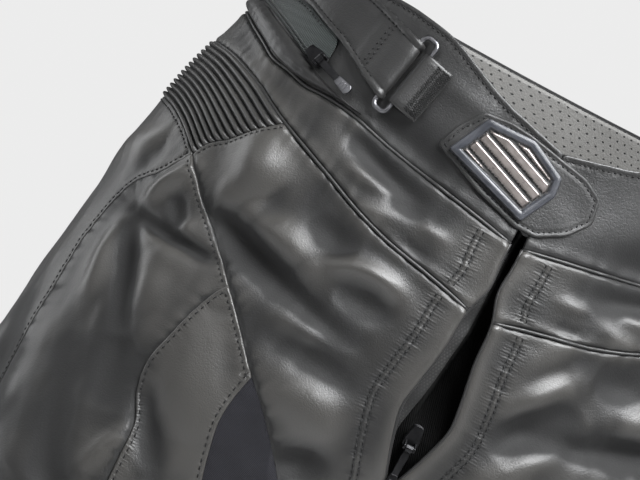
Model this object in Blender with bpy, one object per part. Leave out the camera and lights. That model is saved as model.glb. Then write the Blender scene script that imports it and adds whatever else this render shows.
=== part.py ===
"""Leather motorcycle trousers, filled out as if worn, in metres.

+Z is up, the front faces -Y and the wearer's right side is at -X.
Z = 0 is the top edge at the centre front.
A place on one half is (u, z): u runs round it from the centre front or front
inseam (0), past the outer side (0.5), to the centre back or back inseam (1).
The right half is made and the left half is its mirror image.
"""
import bpy
import numpy as np
from mathutils import Vector
from mathutils.geometry import delaunay_2d_cdt

for old in list(bpy.data.objects):
    bpy.data.objects.remove(old, do_unlink=True)

MM = 0.001
TURN = 2 * np.pi
WALL = 2.0 * MM          # leather with its backing
SEAM_GAP = 0.3 * MM      # between neighbouring panels
LAY_GAP = 0.5 * MM       # under a piece that lies on a panel
LINE_GAP = 1.1 * MM      # behind a panel, for what lies inside it
HALF_ROUND = 0.5         # metres for one unit of u at the hips
CROTCH_Z = -0.272
SHARE_TOP = -0.09        # above it the two halves are one trunk
KNEE_Z = -0.600         # seam below the knee
HEM_Z = -1.0
FINE, COARSE = 0.023, 0.046   # panel mesh spacing at the hips and down the legs
COARSE_Z = -0.32
FLAT_U, FLAT_Z = 0.028, -0.210    # no folds beside the fly, above this height

# Trunk: z, half width, front depth, back depth
HIPS = np.array([
    (0.08, 0.156, 0.108, 0.116), (0.04, 0.160, 0.110, 0.117),
    (0.00, 0.167, 0.113, 0.120), (-0.05, 0.183, 0.118, 0.128),
    (-0.10, 0.193, 0.122, 0.136), (-0.16, 0.201, 0.124, 0.142),
    (-0.22, 0.207, 0.122, 0.142), (-0.30, 0.210, 0.118, 0.134)])

# Leg: z, centre x, centre y, half width, front depth, back depth
LEG = np.array([
    (0.08, -0.090, 0.000, 0.066, 0.105, 0.110), (-0.12, -0.098, 0.002, 0.098, 0.116, 0.120),
    (-0.27, -0.108, 0.002, 0.107, 0.112, 0.118), (-0.34, -0.117, 0.000, 0.100, 0.104, 0.106),
    (-0.46, -0.131, -0.006, 0.086, 0.092, 0.092), (-0.57, -0.143, -0.014, 0.075, 0.082, 0.080),
    (-0.66, -0.152, -0.010, 0.071, 0.074, 0.078), (-0.76, -0.161, 0.006, 0.068, 0.070, 0.076),
    (-0.88, -0.171, 0.020, 0.060, 0.062, 0.066), (-1.00, -0.180, 0.030, 0.055, 0.058, 0.060)])

# Folds: start u, z, middle u, z, end u, z, width, rise, half (0 both, 1 right, -1 left)
FOLDS = np.array([
    (0.262, -0.108, 0.180, -0.119, 0.090, -0.133, 0.014, -0.0045, 0),
    (0.128, -0.101, 0.085, -0.102, 0.045, -0.098, 0.011, 0.0030, 0),
    (0.098, -0.112, 0.064, -0.117, 0.032, -0.121, 0.010, -0.0030, 0),
    (0.148, -0.045, 0.088, -0.054, 0.036, -0.060, 0.009, -0.0035, 0),
    (0.352, -0.126, 0.308, -0.156, 0.238, -0.212, 0.013, -0.0040, 0),
    (0.350, -0.127, 0.280, -0.130, 0.216, -0.130, 0.007, -0.0020, 0),
    (0.490, -0.106, 0.420, -0.094, 0.380, -0.090, 0.010, 0.0030, 0),
    (0.180, -0.160, 0.160, -0.195, 0.170, -0.230, 0.018, 0.0040, 0),
    (0.090, -0.192, 0.060, -0.201, 0.036, -0.195, 0.010, -0.0030, 0),
    (0.470, -0.190, 0.420, -0.230, 0.360, -0.300, 0.016, -0.0040, 0),
    (0.060, -0.330, 0.140, -0.350, 0.230, -0.345, 0.018, -0.0040, 0),
    (0.360, -0.520, 0.260, -0.545, 0.140, -0.535, 0.018, -0.0045, 0),
    (0.400, -0.600, 0.280, -0.630, 0.150, -0.615, 0.020, -0.0050, 0),
    (0.100, -0.640, 0.200, -0.665, 0.330, -0.655, 0.018, -0.0040, 0),
    (0.560, -0.560, 0.700, -0.585, 0.880, -0.570, 0.020, -0.0060, 0),
    (0.600, -0.610, 0.740, -0.630, 0.900, -0.615, 0.020, -0.0060, 0),
    (0.580, -0.330, 0.720, -0.345, 0.900, -0.330, 0.020, -0.0050, 0),
    (0.640, -0.150, 0.760, -0.190, 0.900, -0.230, 0.020, -0.0040, 0),
    (0.150, -0.800, 0.300, -0.825, 0.450, -0.810, 0.022, -0.0040, 0),
    (0.620, -0.780, 0.760, -0.805, 0.920, -0.790, 0.022, -0.0040, 0),
    (0.200, -0.900, 0.420, -0.925, 0.640, -0.905, 0.022, -0.0040, 0)])

# Seams and edges: rows of (u, z). A row where other seams meet is a corner of a panel.
SEAMS = {
    "top": [(0, 0), (0.030, 0.006), (0.050, 0.010), (0.076, 0.017), (0.108, 0.025),
            (0.156, 0.030), (0.220, 0.032), (0.300, 0.037), (0.400, 0.040),
            (0.520, 0.041), (0.660, 0.041), (0.840, 0.041), (1, 0.041)],
    "band_front": [(0, 0), (0.002, -0.026), (0.004, -0.052)],
    "waist_low": [(0.004, -0.052), (0.022, -0.049), (0.060, -0.044), (0.122, -0.037),
                  (0.166, -0.032), (0.206, -0.030), (0.238, -0.030), (0.274, -0.027),
                  (0.310, -0.025), (0.346, -0.020), (0.402, -0.014), (0.452, -0.010),
                  (0.520, -0.008), (0.660, -0.006), (0.840, -0.005), (1, -0.004)],
    "yoke_low": [(0.008, -0.091), (0.022, -0.088), (0.046, -0.084), (0.076, -0.080),
                 (0.110, -0.074), (0.154, -0.065), (0.200, -0.057), (0.232, -0.052),
                 (0.312, -0.039), (0.378, -0.033), (0.442, -0.031), (0.520, -0.031),
                 (0.660, -0.033), (0.840, -0.037), (1, -0.040)],
    "side": [(0.520, 0.041), (0.520, -0.008), (0.520, -0.031)],
    "fly": [(0.004, -0.052), (0.004, -0.062), (0.003, -0.077), (0.008, -0.091),
            (0.010, -0.114), (0.014, -0.134), (0.016, -0.149), (0.012, -0.163),
            (0.006, -0.179), (0.001, -0.191), (0, -0.200)],
    "centre_front": [(0, -0.200), (0, -0.230), (0, -0.250), (0, -0.262), (0, -0.2685),
                     (0, -0.272)],
    "centre_back": [(1, 0.041), (1, -0.004), (1, -0.040), (1, -0.100), (1, -0.160),
                    (1, -0.200), (1, -0.230), (1, -0.250), (1, -0.262), (1, -0.2685),
                    (1, -0.272)],
    "rib_front": [(0.232, -0.052), (0.264, -0.063), (0.288, -0.072), (0.314, -0.080),
                  (0.324, -0.088)],
    "rib_low": [(0.324, -0.088), (0.344, -0.083), (0.374, -0.077), (0.414, -0.072),
                (0.458, -0.070), (0.520, -0.069), (0.600, -0.071)],
    "rib_back": [(0.660, -0.033), (0.650, -0.045), (0.625, -0.060), (0.600, -0.071)],
    "diagonal": [(0.324, -0.088), (0.310, -0.093), (0.296, -0.098), (0.272, -0.107),
                 (0.252, -0.113), (0.220, -0.124), (0.188, -0.137), (0.160, -0.151),
                 (0.126, -0.171), (0.102, -0.185), (0.080, -0.202), (0.060, -0.220),
                 (0.040, -0.238), (0.018, -0.257), (0, -0.272)],
    "side_arc": [(0.324, -0.088), (0.354, -0.104), (0.390, -0.116), (0.404, -0.132),
                 (0.408, -0.150), (0.402, -0.200), (0.395, -0.300), (0.385, -0.420),
                 (0.375, -0.520)],
    "outer_seam": [(0.375, -0.520), (0.3715, KNEE_Z), (0.370, -0.640), (0.368, -0.760), (0.368, -0.880),
                   (0.370, HEM_Z)],
    "thigh_edge": [(0.188, -0.137), (0.196, -0.142), (0.206, -0.153), (0.218, -0.172),
                   (0.229, -0.190), (0.226, -0.204), (0.212, -0.220), (0.214, -0.238),
                   (0.224, -0.260), (0.245, -0.300), (0.290, -0.400), (0.335, -0.475),
                   (0.375, -0.520)],
    "insert_edge": [(0.126, -0.171), (0.131, -0.181), (0.136, -0.197), (0.134, -0.215),
                    (0.131, -0.232), (0.124, -0.270), (0.110, -0.330), (0.085, -0.400),
                    (0.045, -0.460), (0, -0.500)],
    "inseam_front": [(0, -0.272), (0, -0.285), (0, -0.500), (0, KNEE_Z), (0, -0.750),
                     (0, HEM_Z)],
    "inseam_back": [(1, -0.272), (1, -0.285), (1, -0.500), (1, KNEE_Z), (1, -0.750),
                    (1, HEM_Z)],
    "back_side": [(0.600, -0.071), (0.578, -0.120), (0.562, -0.200), (0.555, -0.290)],
    "back_low": [(0.555, -0.290), (0.550, -0.420), (0.545, -0.560), (0.5435, KNEE_Z), (0.540, -0.700),
                 (0.540, -0.850), (0.540, HEM_Z)],
    "seat_low": [(0.555, -0.290), (0.660, -0.308), (0.800, -0.312), (0.920, -0.300),
                 (1, -0.285)],
    "knee": [(0, KNEE_Z), (0.190, KNEE_Z), (0.3715, KNEE_Z), (0.5435, KNEE_Z), (0.770, KNEE_Z),
             (1, KNEE_Z)],
    "hem": [(0, HEM_Z), (0.190, HEM_Z), (0.370, HEM_Z), (0.540, HEM_Z), (0.770, HEM_Z),
            (1, HEM_Z)],
}

# Panels: name, then the seams round it with first and last row
PANELS = {
    "waistband_front": [("top", 0, 9), ("side", 0, 1), ("waist_low", 12, 0),
                        ("band_front", 2, 0)],
    "waistband_back": [("top", 9, 12), ("centre_back", 0, 1), ("waist_low", 15, 12),
                       ("side", 1, 0)],
    "yoke_front": [("waist_low", 0, 12), ("side", 1, 2), ("yoke_low", 11, 0), ("fly", 3, 0)],
    "yoke_back": [("waist_low", 12, 15), ("centre_back", 1, 2), ("yoke_low", 14, 11),
                  ("side", 2, 1)],
    "front_hip": [("yoke_low", 0, 7), ("rib_front", 0, 4), ("diagonal", 0, 14),
                  ("centre_front", 5, 0), ("fly", 10, 3)],
    "side_leg": [("rib_low", 0, 6), ("back_side", 0, 3), ("back_low", 0, 3), ("knee", 3, 2),
                 ("outer_seam", 1, 0), ("side_arc", 8, 0)],
    "side_shin": [("knee", 2, 3), ("back_low", 3, 6), ("hem", 3, 2), ("outer_seam", 5, 1)],
    "outer_thigh": [("side_arc", 0, 8), ("thigh_edge", 12, 0), ("diagonal", 6, 0)],
    "front_leg": [("diagonal", 6, 8), ("insert_edge", 0, 9), ("inseam_front", 2, 3),
                  ("knee", 0, 2), ("outer_seam", 1, 0), ("thigh_edge", 12, 0)],
    "shin": [("inseam_front", 3, 5), ("hem", 0, 2), ("outer_seam", 5, 1), ("knee", 2, 0)],
    "stretch_insert": [("diagonal", 8, 14), ("inseam_front", 0, 2), ("insert_edge", 9, 0)],
    "seat": [("yoke_low", 12, 14), ("centre_back", 2, 10), ("inseam_back", 0, 1),
             ("seat_low", 4, 0), ("back_side", 3, 0), ("rib_back", 3, 0)],
    "back_leg": [("seat_low", 0, 4), ("inseam_back", 1, 3), ("knee", 5, 3), ("back_low", 3, 0)],
    "calf": [("knee", 3, 5), ("inseam_back", 3, 5), ("hem", 5, 3), ("back_low", 6, 3)],
}


def smooth_table(table, z):
    """Read a table of sections at heights z, smoothly."""
    rows = table[np.argsort(table[:, 0])]
    x, y = rows[:, 0], rows[:, 1:]
    slope = np.gradient(y, x, axis=0)
    z = np.clip(z, x[0], x[-1])
    k = np.clip(np.searchsorted(x, z) - 1, 0, len(x) - 2)
    step = x[k + 1] - x[k]
    s = ((z - x[k]) / step)[..., None]
    step = step[..., None]
    return (y[k] * (2 * s**3 - 3 * s**2 + 1) + slope[k] * step * (s**3 - 2 * s**2 + s)
            + y[k + 1] * (3 * s**2 - 2 * s**3) + slope[k + 1] * step * (s**3 - s**2))


def ring_point(turn, z):
    """Point of the ring at height z, at a turn round the leg's centre."""
    half, front, back = np.moveaxis(smooth_table(HIPS, z), -1, 0)
    cx, cy, rx, rf, rb = np.moveaxis(smooth_table(LEG, z), -1, 0)
    c, s = np.cos(TURN * turn), -np.sin(TURN * turn)

    def reach(depth):
        a = (c / half)**2 + (s / depth)**2
        b = cx * c / half**2 + cy * s / depth**2
        d = (cx / half)**2 + (cy / depth)**2 - 1
        return (-b + np.sqrt(np.maximum(b * b - a * d, 0))) / a
    r_front = reach(front)
    r_hip = np.where(cy + r_front * s < 0, r_front, reach(back))
    r_leg = 1 / np.sqrt((c / rx)**2 + (s / np.where(s < 0, rf, rb))**2)
    w = np.clip((SHARE_TOP - z) / (SHARE_TOP - CROTCH_Z), 0, 1)
    inner = np.clip(c, 0, 1)
    w = np.where(z < CROTCH_Z, 1, w * w * (1 - inner) + w**3 * inner)
    r = r_hip * (1 - w) + r_leg * w
    return cx + r * c, cy + r * s


def find_centre_turn(z, front):
    """Turn at which the ring meets the centre plane."""
    low, high = np.zeros(z.shape), np.full(z.shape, 0.25)
    sign = 1 if front else -1
    for _ in range(34):
        mid = (low + high) / 2
        x, _y = ring_point(sign * mid, z)
        low, high = np.where(x > 0, mid, low), np.where(x > 0, high, mid)
    return low if front else 1 - low


LEVELS = CROTCH_Z + (0.09 - CROTCH_Z) * np.linspace(0, 1, 900)**2
FRONT_TURN, BACK_TURN = find_centre_turn(LEVELS, True), find_centre_turn(LEVELS, False)


def surface(u, z):
    """Point of the right half's smooth outer face."""
    u, z = np.broadcast_arrays(np.asarray(u, float), np.asarray(z, float))
    front = np.where(z < CROTCH_Z, 0, np.interp(z, LEVELS, FRONT_TURN))
    back = np.where(z < CROTCH_Z, 1, np.interp(z, LEVELS, BACK_TURN))
    x, y = ring_point(front + u * (back - front), z)
    return np.stack([x, y, z], -1)


def outward(u, z):
    """Unit vectors out of the cloth; in the centre plane where the halves meet."""
    e = 1e-4
    across = surface(u + e, z) - surface(u - e, z)
    down = surface(u, z - e) - surface(u, z + e)
    n = np.cross(across, down)
    x = surface(u, z)[..., 0]
    fade = np.clip(np.abs(x) / 0.010, 0, 1)
    fade = np.where(z > CROTCH_Z - 0.002, fade, 1)
    n[..., 0] *= fade
    return n / np.linalg.norm(n, axis=-1, keepdims=True)


def fold_rise(u, z, side):
    """How far the folds lift the cloth, in metres."""
    p = np.stack([np.asarray(u) * HALF_ROUND, np.asarray(z)], -1)
    rise = np.zeros(p.shape[:-1])
    t = np.linspace(0, 1, 9)
    for u0, z0, u1, z1, u2, z2, width, height, half in FOLDS:
        if half and half != side:
            continue
        bend = np.array([(1 - t)**2 * u0 + 2 * t * (1 - t) * u1 + t**2 * u2,
                         (1 - t)**2 * z0 + 2 * t * (1 - t) * z1 + t**2 * z2]).T
        bend[:, 0] *= HALF_ROUND
        best = np.full(rise.shape, 1e9)
        along = np.zeros(rise.shape)
        for k in range(len(bend) - 1):
            a, d = bend[k], bend[k + 1] - bend[k]
            s = np.clip(((p - a) @ d) / (d @ d), 0, 1)
            gap = np.linalg.norm(p - a - s[..., None] * d, axis=-1)
            along = np.where(gap < best, t[k] + s * (t[k + 1] - t[k]), along)
            best = np.minimum(best, gap)
        rise = rise + height * np.exp(-(best / width)**2) * np.sin(np.pi * (0.1 + 0.8 * along))
    by_fly = np.clip((np.asarray(u) - FLAT_U) / FLAT_U, 0, 1)
    return rise * np.where(np.asarray(z) > FLAT_Z, by_fly, 1)


def lifted(u, z, out, side=1):
    """Point at the distance out from the folded face, on either half."""
    n = outward(u, z)
    p = surface(u, z) + n * (fold_rise(u, z, side) + out)[..., None]
    p[..., 0] *= side
    return p


def curve_rows(rows, spacing_scale=1.0):
    """A smooth line through the rows, and where each row lies in it."""
    rows = np.array(rows, float)
    flat = rows * (HALF_ROUND, 1)
    length = np.r_[0, np.cumsum(np.linalg.norm(np.diff(flat, axis=0), axis=1))]
    slope = np.gradient(rows, length, axis=0) if len(rows) > 2 else None
    points, index = [rows[0]], [0]
    for k in range(len(rows) - 1):
        span = length[k + 1] - length[k]
        step = FINE if rows[k, 1] > COARSE_Z else COARSE
        count = max(1, int(round(span / (step * spacing_scale))))
        for s in np.arange(1, count + 1) / count:
            if slope is None:
                points.append(rows[k] * (1 - s) + rows[k + 1] * s)
            else:
                points.append(rows[k] * (2*s**3 - 3*s**2 + 1) + rows[k + 1] * (3*s**2 - 2*s**3)
                              + slope[k] * span * (s**3 - 2*s**2 + s)
                              + slope[k + 1] * span * (s**3 - s**2))
        index.append(len(points) - 1)
    return np.array(points), index


LINES = {name: curve_rows(rows, 0.5 if name in ("knee", "hem") else 1.0) for name, rows in SEAMS.items()}


def seam_run(name, first, last):
    points, index = LINES[name]
    i, j = index[first], index[last]
    return points[i:j + 1] if i <= j else points[j:i + 1][::-1]


def loop_of(parts):
    """The closed outline of a panel, in metres on the flat."""
    runs = [seam_run(*part)[:-1] for part in parts]
    loop = np.concatenate(runs) * (HALF_ROUND, 1)
    keep = np.linalg.norm(loop - np.roll(loop, 1, axis=0), axis=1) > 1e-6
    return loop[keep]


def counter_clockwise(loop):
    x, y = loop.T
    return np.sum(x * np.roll(y, -1) - np.roll(x, -1) * y) > 0


def drawn_in(loop, gap):
    """The outline moved inwards by gap."""
    if not counter_clockwise(loop):
        loop = loop[::-1]
    ahead = np.roll(loop, -1, axis=0) - loop
    ahead /= np.linalg.norm(ahead, axis=1, keepdims=True)
    inward = np.stack([-ahead[:, 1], ahead[:, 0]], -1)
    mean = inward + np.roll(inward, 1, axis=0)
    mean /= np.linalg.norm(mean, axis=1, keepdims=True)
    share = np.maximum(np.sum(mean * inward, axis=1), 0.35)
    return loop + mean * (gap / share)[:, None]


def inside(points, loop):
    """Which points lie inside, and how far each is from the outline."""
    a, b = loop, np.roll(loop, -1, axis=0)
    x, y = points[:, 0][:, None], points[:, 1][:, None]
    cross = (a[:, 1] > y) != (b[:, 1] > y)
    rise = np.where(b[:, 1] == a[:, 1], 1e-12, b[:, 1] - a[:, 1])
    left = x < (b[:, 0] - a[:, 0]) * (y - a[:, 1]) / rise + a[:, 0]
    within = np.sum(cross & left, axis=1) % 2 == 1
    d = b - a
    s = np.clip(np.sum((points[:, None] - a) * d, -1) / np.sum(d * d, -1), 0, 1)
    gap = np.linalg.norm(points[:, None] - a - s[..., None] * d, axis=-1).min(axis=1)
    return within, gap


def field(loop, scale=1.0):
    """Even rows of points inside an outline."""
    low, high = loop.min(axis=0), loop.max(axis=0)
    points, z, odd = [], high[1], 0
    while z > low[1]:
        step = (FINE if z > COARSE_Z else COARSE) * scale
        row = np.arange(low[0] + (0.5 * step if odd else 0), high[0], step)
        points.append(np.stack([row, np.full(row.shape, z)], -1))
        z -= step * 0.866
        odd = 1 - odd
    points = np.concatenate(points)
    step = np.where(points[:, 1] > COARSE_Z, FINE, COARSE) * scale
    within, gap = inside(points, loop)
    return points[within & (gap > 0.55 * step)]


def tiled(loop, scale=1.0):
    """Triangles over an outline."""
    points = np.concatenate([loop, field(loop, scale)])
    verts, _e, faces, _ov, _oe, _of = delaunay_2d_cdt(
        [Vector(p) for p in points], [], [list(range(len(loop)))], 1, 1e-7)
    return np.array([tuple(v) for v in verts]), [tuple(f) for f in faces]


def edge_loops(faces):
    used = {}
    for f in faces:
        for a, b in zip(f, f[1:] + f[:1]):
            used[(a, b)] = True
    return [(a, b) for (a, b) in used if (b, a) not in used]


def add_object(name, verts, faces, material):
    mesh = bpy.data.meshes.new(name)
    mesh.from_pydata([tuple(map(float, v)) for v in verts], [], faces)
    mesh.validate()
    mesh.update()
    ob = bpy.data.objects.new(name, mesh)
    bpy.context.scene.collection.objects.link(ob)
    tint, rough, metal = FINISH[material]
    mat = bpy.data.materials.new(name)
    mat.use_nodes = True
    shader = mat.node_tree.nodes["Principled BSDF"]
    shader.inputs["Base Color"].default_value = (*tint, 1)
    shader.inputs["Roughness"].default_value = rough
    shader.inputs["Metallic"].default_value = metal
    mat.diffuse_color = (*tint, 1)
    mesh.materials.append(mat)
    return ob


# Finishes: colour, roughness, metallic
FINISH = {
    "leather": ((0.035, 0.035, 0.036), 0.45, 0.0),
    "fabric": ((0.022, 0.022, 0.025), 0.9, 0.0),
    "tape": ((0.020, 0.026, 0.025), 0.8, 0.0),
    "lining": ((0.030, 0.030, 0.030), 0.7, 0.0),
    "rubber": ((0.09, 0.09, 0.095), 0.4, 0.0),
    "black_metal": ((0.02, 0.02, 0.02), 0.35, 1.0),
    "metal": ((0.6, 0.6, 0.62), 0.25, 1.0),
}


def wall(name, flat, faces, place, low, high, material, flip):
    """A closed sheet: outer face at high, inner face at low, joined at the edge."""
    outer, inner = place(flat, high), place(flat, low)
    count = len(outer)
    out = [f[::-1] for f in faces] if flip else list(faces)
    back = [tuple(v + count for v in f[::-1]) for f in out]
    rim = []
    for a, b in edge_loops(out):
        # Neighbours split their facing walls along the same diagonal.
        if (round(flat[a, 1], 4), flat[a, 0]) < (round(flat[b, 1], 4), flat[b, 0]):
            rim += [(b, a, b + count), (a, a + count, b + count)]
        else:
            rim += [(b, a, a + count), (b, a + count, b + count)]
    return add_object(name, np.concatenate([outer, inner]), out + back + rim, material)


def half_place(side):
    def place(flat, out):
        out = out(flat) if callable(out) else np.full(len(flat), out)
        return lifted(flat[:, 0] / HALF_ROUND, flat[:, 1], out, side)
    return place


def centre_u(x, z):
    """u of the front point at the distance |x| from the centre plane."""
    gap = np.maximum(np.abs(x), 1e-6)
    u = gap / 0.85
    for _ in range(6):
        u = u * gap / np.maximum(np.abs(surface(u, z)[..., 0]), 1e-7)
    return u


def centre_place(flat, out):
    """Places points given as (x, z) across the centre front."""
    out = out(flat) if callable(out) else np.full(len(flat), out)
    x, z = flat.T
    side = np.where(x < 0, 1, -1)
    u = centre_u(x, z)
    n = outward(u, z)
    p = surface(u, z) + n * (fold_rise(u, z, 1) + out)[..., None]
    p[..., 0] *= side
    return p


SIDES = (("right", 1), ("left", -1))
CLOSER = {"waistband_front": 0.5}     # closer mesh under what lies on the panel

for panel, parts in PANELS.items():
    outline = drawn_in(loop_of(parts), SEAM_GAP / 2)
    flat, faces = tiled(outline, CLOSER.get(panel, 1.0))
    kind = "fabric" if panel == "stretch_insert" else "leather"
    for word, side in SIDES:
        wall(f"{panel}_{word}", flat, faces, half_place(side), -WALL, 0.0, kind, side == 1)

# Ribbed stretch panel: ribs follow its upper seam
RIBS = 13
RIB_RISE = 2.2 * MM
RIB_COLUMNS = 15
RIB_INSET = 0.65 * MM     # its straight runs cut the corners of its neighbours' edges
RIB_PHASES = ((0.0, 0.0), (0.34, 1.0), (0.66, 1.0))   # place in a rib, share of its rise


def rib_low_z(u):
    line, _ = LINES["rib_low"]
    z = np.interp(u, line[:, 0], line[:, 1])
    return np.where(u < line[0, 0], line[0, 1] - (line[0, 0] - u) * 0.25, z)


def rib_top_z(u):
    line, _ = LINES["yoke_low"]
    return np.interp(u, line[:, 0], line[:, 1])


def rib_share(run):
    """Share of the depth from the upper to the lower seam, for points of an end."""
    u, z = run.T
    return (rib_top_z(u) - z) / (rib_top_z(u) - rib_low_z(u))


front_run, back_run = seam_run("rib_front", 0, 4), seam_run("rib_back", 0, 3)
front_share, back_share = rib_share(front_run), rib_share(back_run)
steps = [(k + at) / RIBS for k in range(RIBS) for at, _ in RIB_PHASES] + [1.0]
rises = [share for _ in range(RIBS) for _, share in RIB_PHASES] + [0.0]


def rib_grid(shares):
    """Rows of (flat x, z), one for each share of the depth."""
    rows = []
    for v in shares:
        u0 = np.interp(v, front_share, front_run[:, 0]) + RIB_INSET / HALF_ROUND
        u1 = np.interp(v, back_share, back_run[:, 0]) - RIB_INSET / HALF_ROUND
        s = np.linspace(0, 1, RIB_COLUMNS)
        u = u0 + (u1 - u0) * s
        depth = rib_top_z(u) - rib_low_z(u)
        inset = RIB_INSET * (1 - 2 * v)
        rows.append(np.stack([u * HALF_ROUND, rib_top_z(u) - v * depth - inset], -1))
    return np.array(rows)


def ribbed(name, side):
    outer = rib_grid(steps)
    inner = rib_grid(np.linspace(0, 1, 5))
    columns = RIB_COLUMNS
    fade = np.sin(np.pi * np.clip(np.linspace(0.06, 0.94, columns), 0, 1)) ** 0.35
    rise = (np.array(rises)[:, None] * fade * RIB_RISE).ravel()
    place = half_place(side)
    flat = outer.reshape(-1, 2)
    top = lifted(flat[:, 0] / HALF_ROUND, flat[:, 1], rise, side)
    low = place(inner.reshape(-1, 2), -WALL)
    verts = np.concatenate([top, low])
    base = len(top)
    faces = []

    def sheet(rows, start, turn):
        for i in range(rows - 1):
            for j in range(columns - 1):
                a = start + i * columns + j
                b, c, d = a + 1, a + columns + 1, a + columns
                quad = [(a, b, c), (a, c, d)]
                faces.extend(q[::-1] if turn else q for q in quad)
    sheet(len(steps), 0, side == -1)
    sheet(5, base, side == 1)

    def close(first, second):
        """Joins two edge lines that run the same way; first is on the outer face."""
        i = j = 0
        while i < len(first) - 1 or j < len(second) - 1:
            if j == len(second) - 1 or (i < len(first) - 1 and
                                        (i + 1) / (len(first) - 1) <= (j + 1) / (len(second) - 1)):
                tri = (first[i], first[i + 1], second[j])
                i += 1
            else:
                tri = (first[i], second[j + 1], second[j])
                j += 1
            faces.append(tri if side == -1 else tri[::-1])
    last, low_last = (len(steps) - 1) * columns, base + 4 * columns
    close([j for j in range(columns)], [base + j for j in range(columns)])
    close([last + j for j in range(columns)][::-1], [low_last + j for j in range(columns)][::-1])
    close([i * columns for i in range(len(steps))][::-1],
          [base + i * columns for i in range(5)][::-1])
    close([i * columns + columns - 1 for i in range(len(steps))],
          [base + i * columns + columns - 1 for i in range(5)])
    return add_object(name, verts, faces, "leather")


for word, side in SIDES:
    ribbed(f"rib_panel_{word}", side)

# Pocket: a puffed lip below the zip and the zip's tape above it. Rows of (u, z).
LIP_LOW = [(0.160, -0.0300), (0.206, -0.0285), (0.250, -0.0280), (0.300, -0.0245),
           (0.346, -0.0185), (0.402, -0.0125), (0.452, -0.0085), (0.480, -0.0065)]
LIP_TOP = [(0.480, -0.0020), (0.442, -0.0005), (0.352, -0.0065), (0.300, -0.0125),
           (0.258, -0.0180), (0.215, -0.0240), (0.185, -0.0275), (0.160, -0.0293)]
LIP_RISE = 5.5 * MM
TAPE_LOW = [(0.262, -0.0165), (0.300, -0.0110), (0.352, -0.0050), (0.442, 0.0010),
            (0.480, 0.0005)]
TAPE_TOP = [(0.480, 0.0110), (0.402, 0.0085), (0.352, 0.0060), (0.308, 0.0020),
            (0.268, -0.0030), (0.245, -0.0085), (0.240, -0.0135)]
TAPE_THICK = 1.0 * MM


def outline_of(*tables):
    runs = [curve_rows(rows, 0.35)[0] for rows in tables]
    loop = np.concatenate(runs) * (HALF_ROUND, 1)
    keep = np.linalg.norm(loop - np.roll(loop, 1, axis=0), axis=1) > 0.4 * MM
    loop = loop[keep]
    return loop if counter_clockwise(loop) else loop[::-1]


def puffed(loop, rise, reach, edge):
    """Height that swells from an edge thickness to a rise, over a reach."""
    def height(flat):
        _w, gap = inside(flat, loop)
        s = np.clip(gap / reach, 0, 1)
        return LAY_GAP + edge + (rise - edge) * np.sqrt(1 - (1 - s)**2)
    return height


lip_loop = outline_of(LIP_LOW, LIP_TOP)
tape_loop = outline_of(TAPE_LOW, TAPE_TOP)
for word, side in SIDES:
    flat, faces = tiled(lip_loop, 0.28)
    wall(f"pocket_lip_{word}", flat, faces, half_place(side), 1.3 * LAY_GAP,
         puffed(lip_loop, LIP_RISE, 5.5 * MM, 1.2 * MM), "leather", side == 1)
    flat, faces = tiled(tape_loop, 0.5)
    wall(f"pocket_zip_tape_{word}", flat, faces, half_place(side), LAY_GAP,
         LAY_GAP + TAPE_THICK, "tape", side == 1)

# Waist strap: along it in metres from the ring bar, lower edge u, z, upper edge u, z
STRAP = np.array([
    (-0.024, 0.108, -0.0232, 0.095, 0.0108), (0.000, 0.151, -0.0190, 0.139, 0.0160),
    (0.012, 0.174, -0.0140, 0.163, 0.0195), (0.026, 0.200, -0.0080, 0.190, 0.0235),
    (0.042, 0.230, -0.0020, 0.222, 0.0270), (0.060, 0.268, 0.0030, 0.262, 0.0305),
    (0.080, 0.308, 0.0080, 0.304, 0.0330), (0.105, 0.360, 0.0110, 0.358, 0.0350)])
STRAP_HALF = 0.8 * MM       # half the thickness of the strap's leather
WIRE = 1.6 * MM             # radius of the ring's wire
BAR_GAP = 9.0 * MM          # between the ring's two long bars
BAR_H = LAY_GAP + 2 * STRAP_HALF + 0.3 * MM + WIRE
WRAP = WIRE + 0.3 * MM + STRAP_HALF


def strap_point(s, t, out, side):
    """Point at s along the strap, share t across it and out from the waistband."""
    s, t, out = np.broadcast_arrays(s, t, out)
    lu, lz, tu, tz = (np.interp(s, STRAP[:, 0], STRAP[:, k]) for k in (1, 2, 3, 4))
    return lifted(lu + (tu - lu) * t, lz + (tz - lz) * t, out, side)


def ribbon(name, path, half, t0, t1, columns, side, material):
    """A flat strip with its long section drawn by path, rows of (s, height)."""
    path = np.array(path)
    ahead = np.gradient(path, axis=0)
    ahead /= np.linalg.norm(ahead, axis=1, keepdims=True)
    normal = np.stack([-ahead[:, 1], ahead[:, 0]], -1)
    section = np.concatenate([path + normal * half, (path - normal * half)[::-1]])
    count, n = len(section), len(path)
    across = np.linspace(t0, t1, columns)
    verts = np.concatenate([strap_point(section[:, 0], t, section[:, 1], side) for t in across])
    faces = []
    for j in range(columns - 1):
        for i in range(count):
            a, b = j * count + i, j * count + (i + 1) % count
            c, d = b + count, a + count
            faces += [(a, b, c), (a, c, d)]
    for i in range(n - 1):
        a, b, c, d = i, i + 1, count - 2 - i, count - 1 - i
        end = (columns - 1) * count
        faces += [(a, d, c), (a, c, b)]
        faces += [(end + a, end + b, end + c), (end + a, end + c, end + d)]
    if side == 1:
        faces = [f[::-1] for f in faces]
    return add_object(name, verts, faces, material)


def wrap_path(bar, way, under_end, top_rows):
    """Under layer, turn round the bar, then the rows of the top layer."""
    low = LAY_GAP + STRAP_HALF
    rows = [(bar + way * under_end, low), (bar + way * under_end * 0.5, low), (bar, low)]
    for angle in np.linspace(-90, -270, 9)[1:]:
        a = np.radians(angle)
        rows.append((bar + way * WRAP * np.cos(a), BAR_H + WRAP * np.sin(a)))
    return rows + [(bar + way * s, h) for s, h in top_rows]


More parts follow.
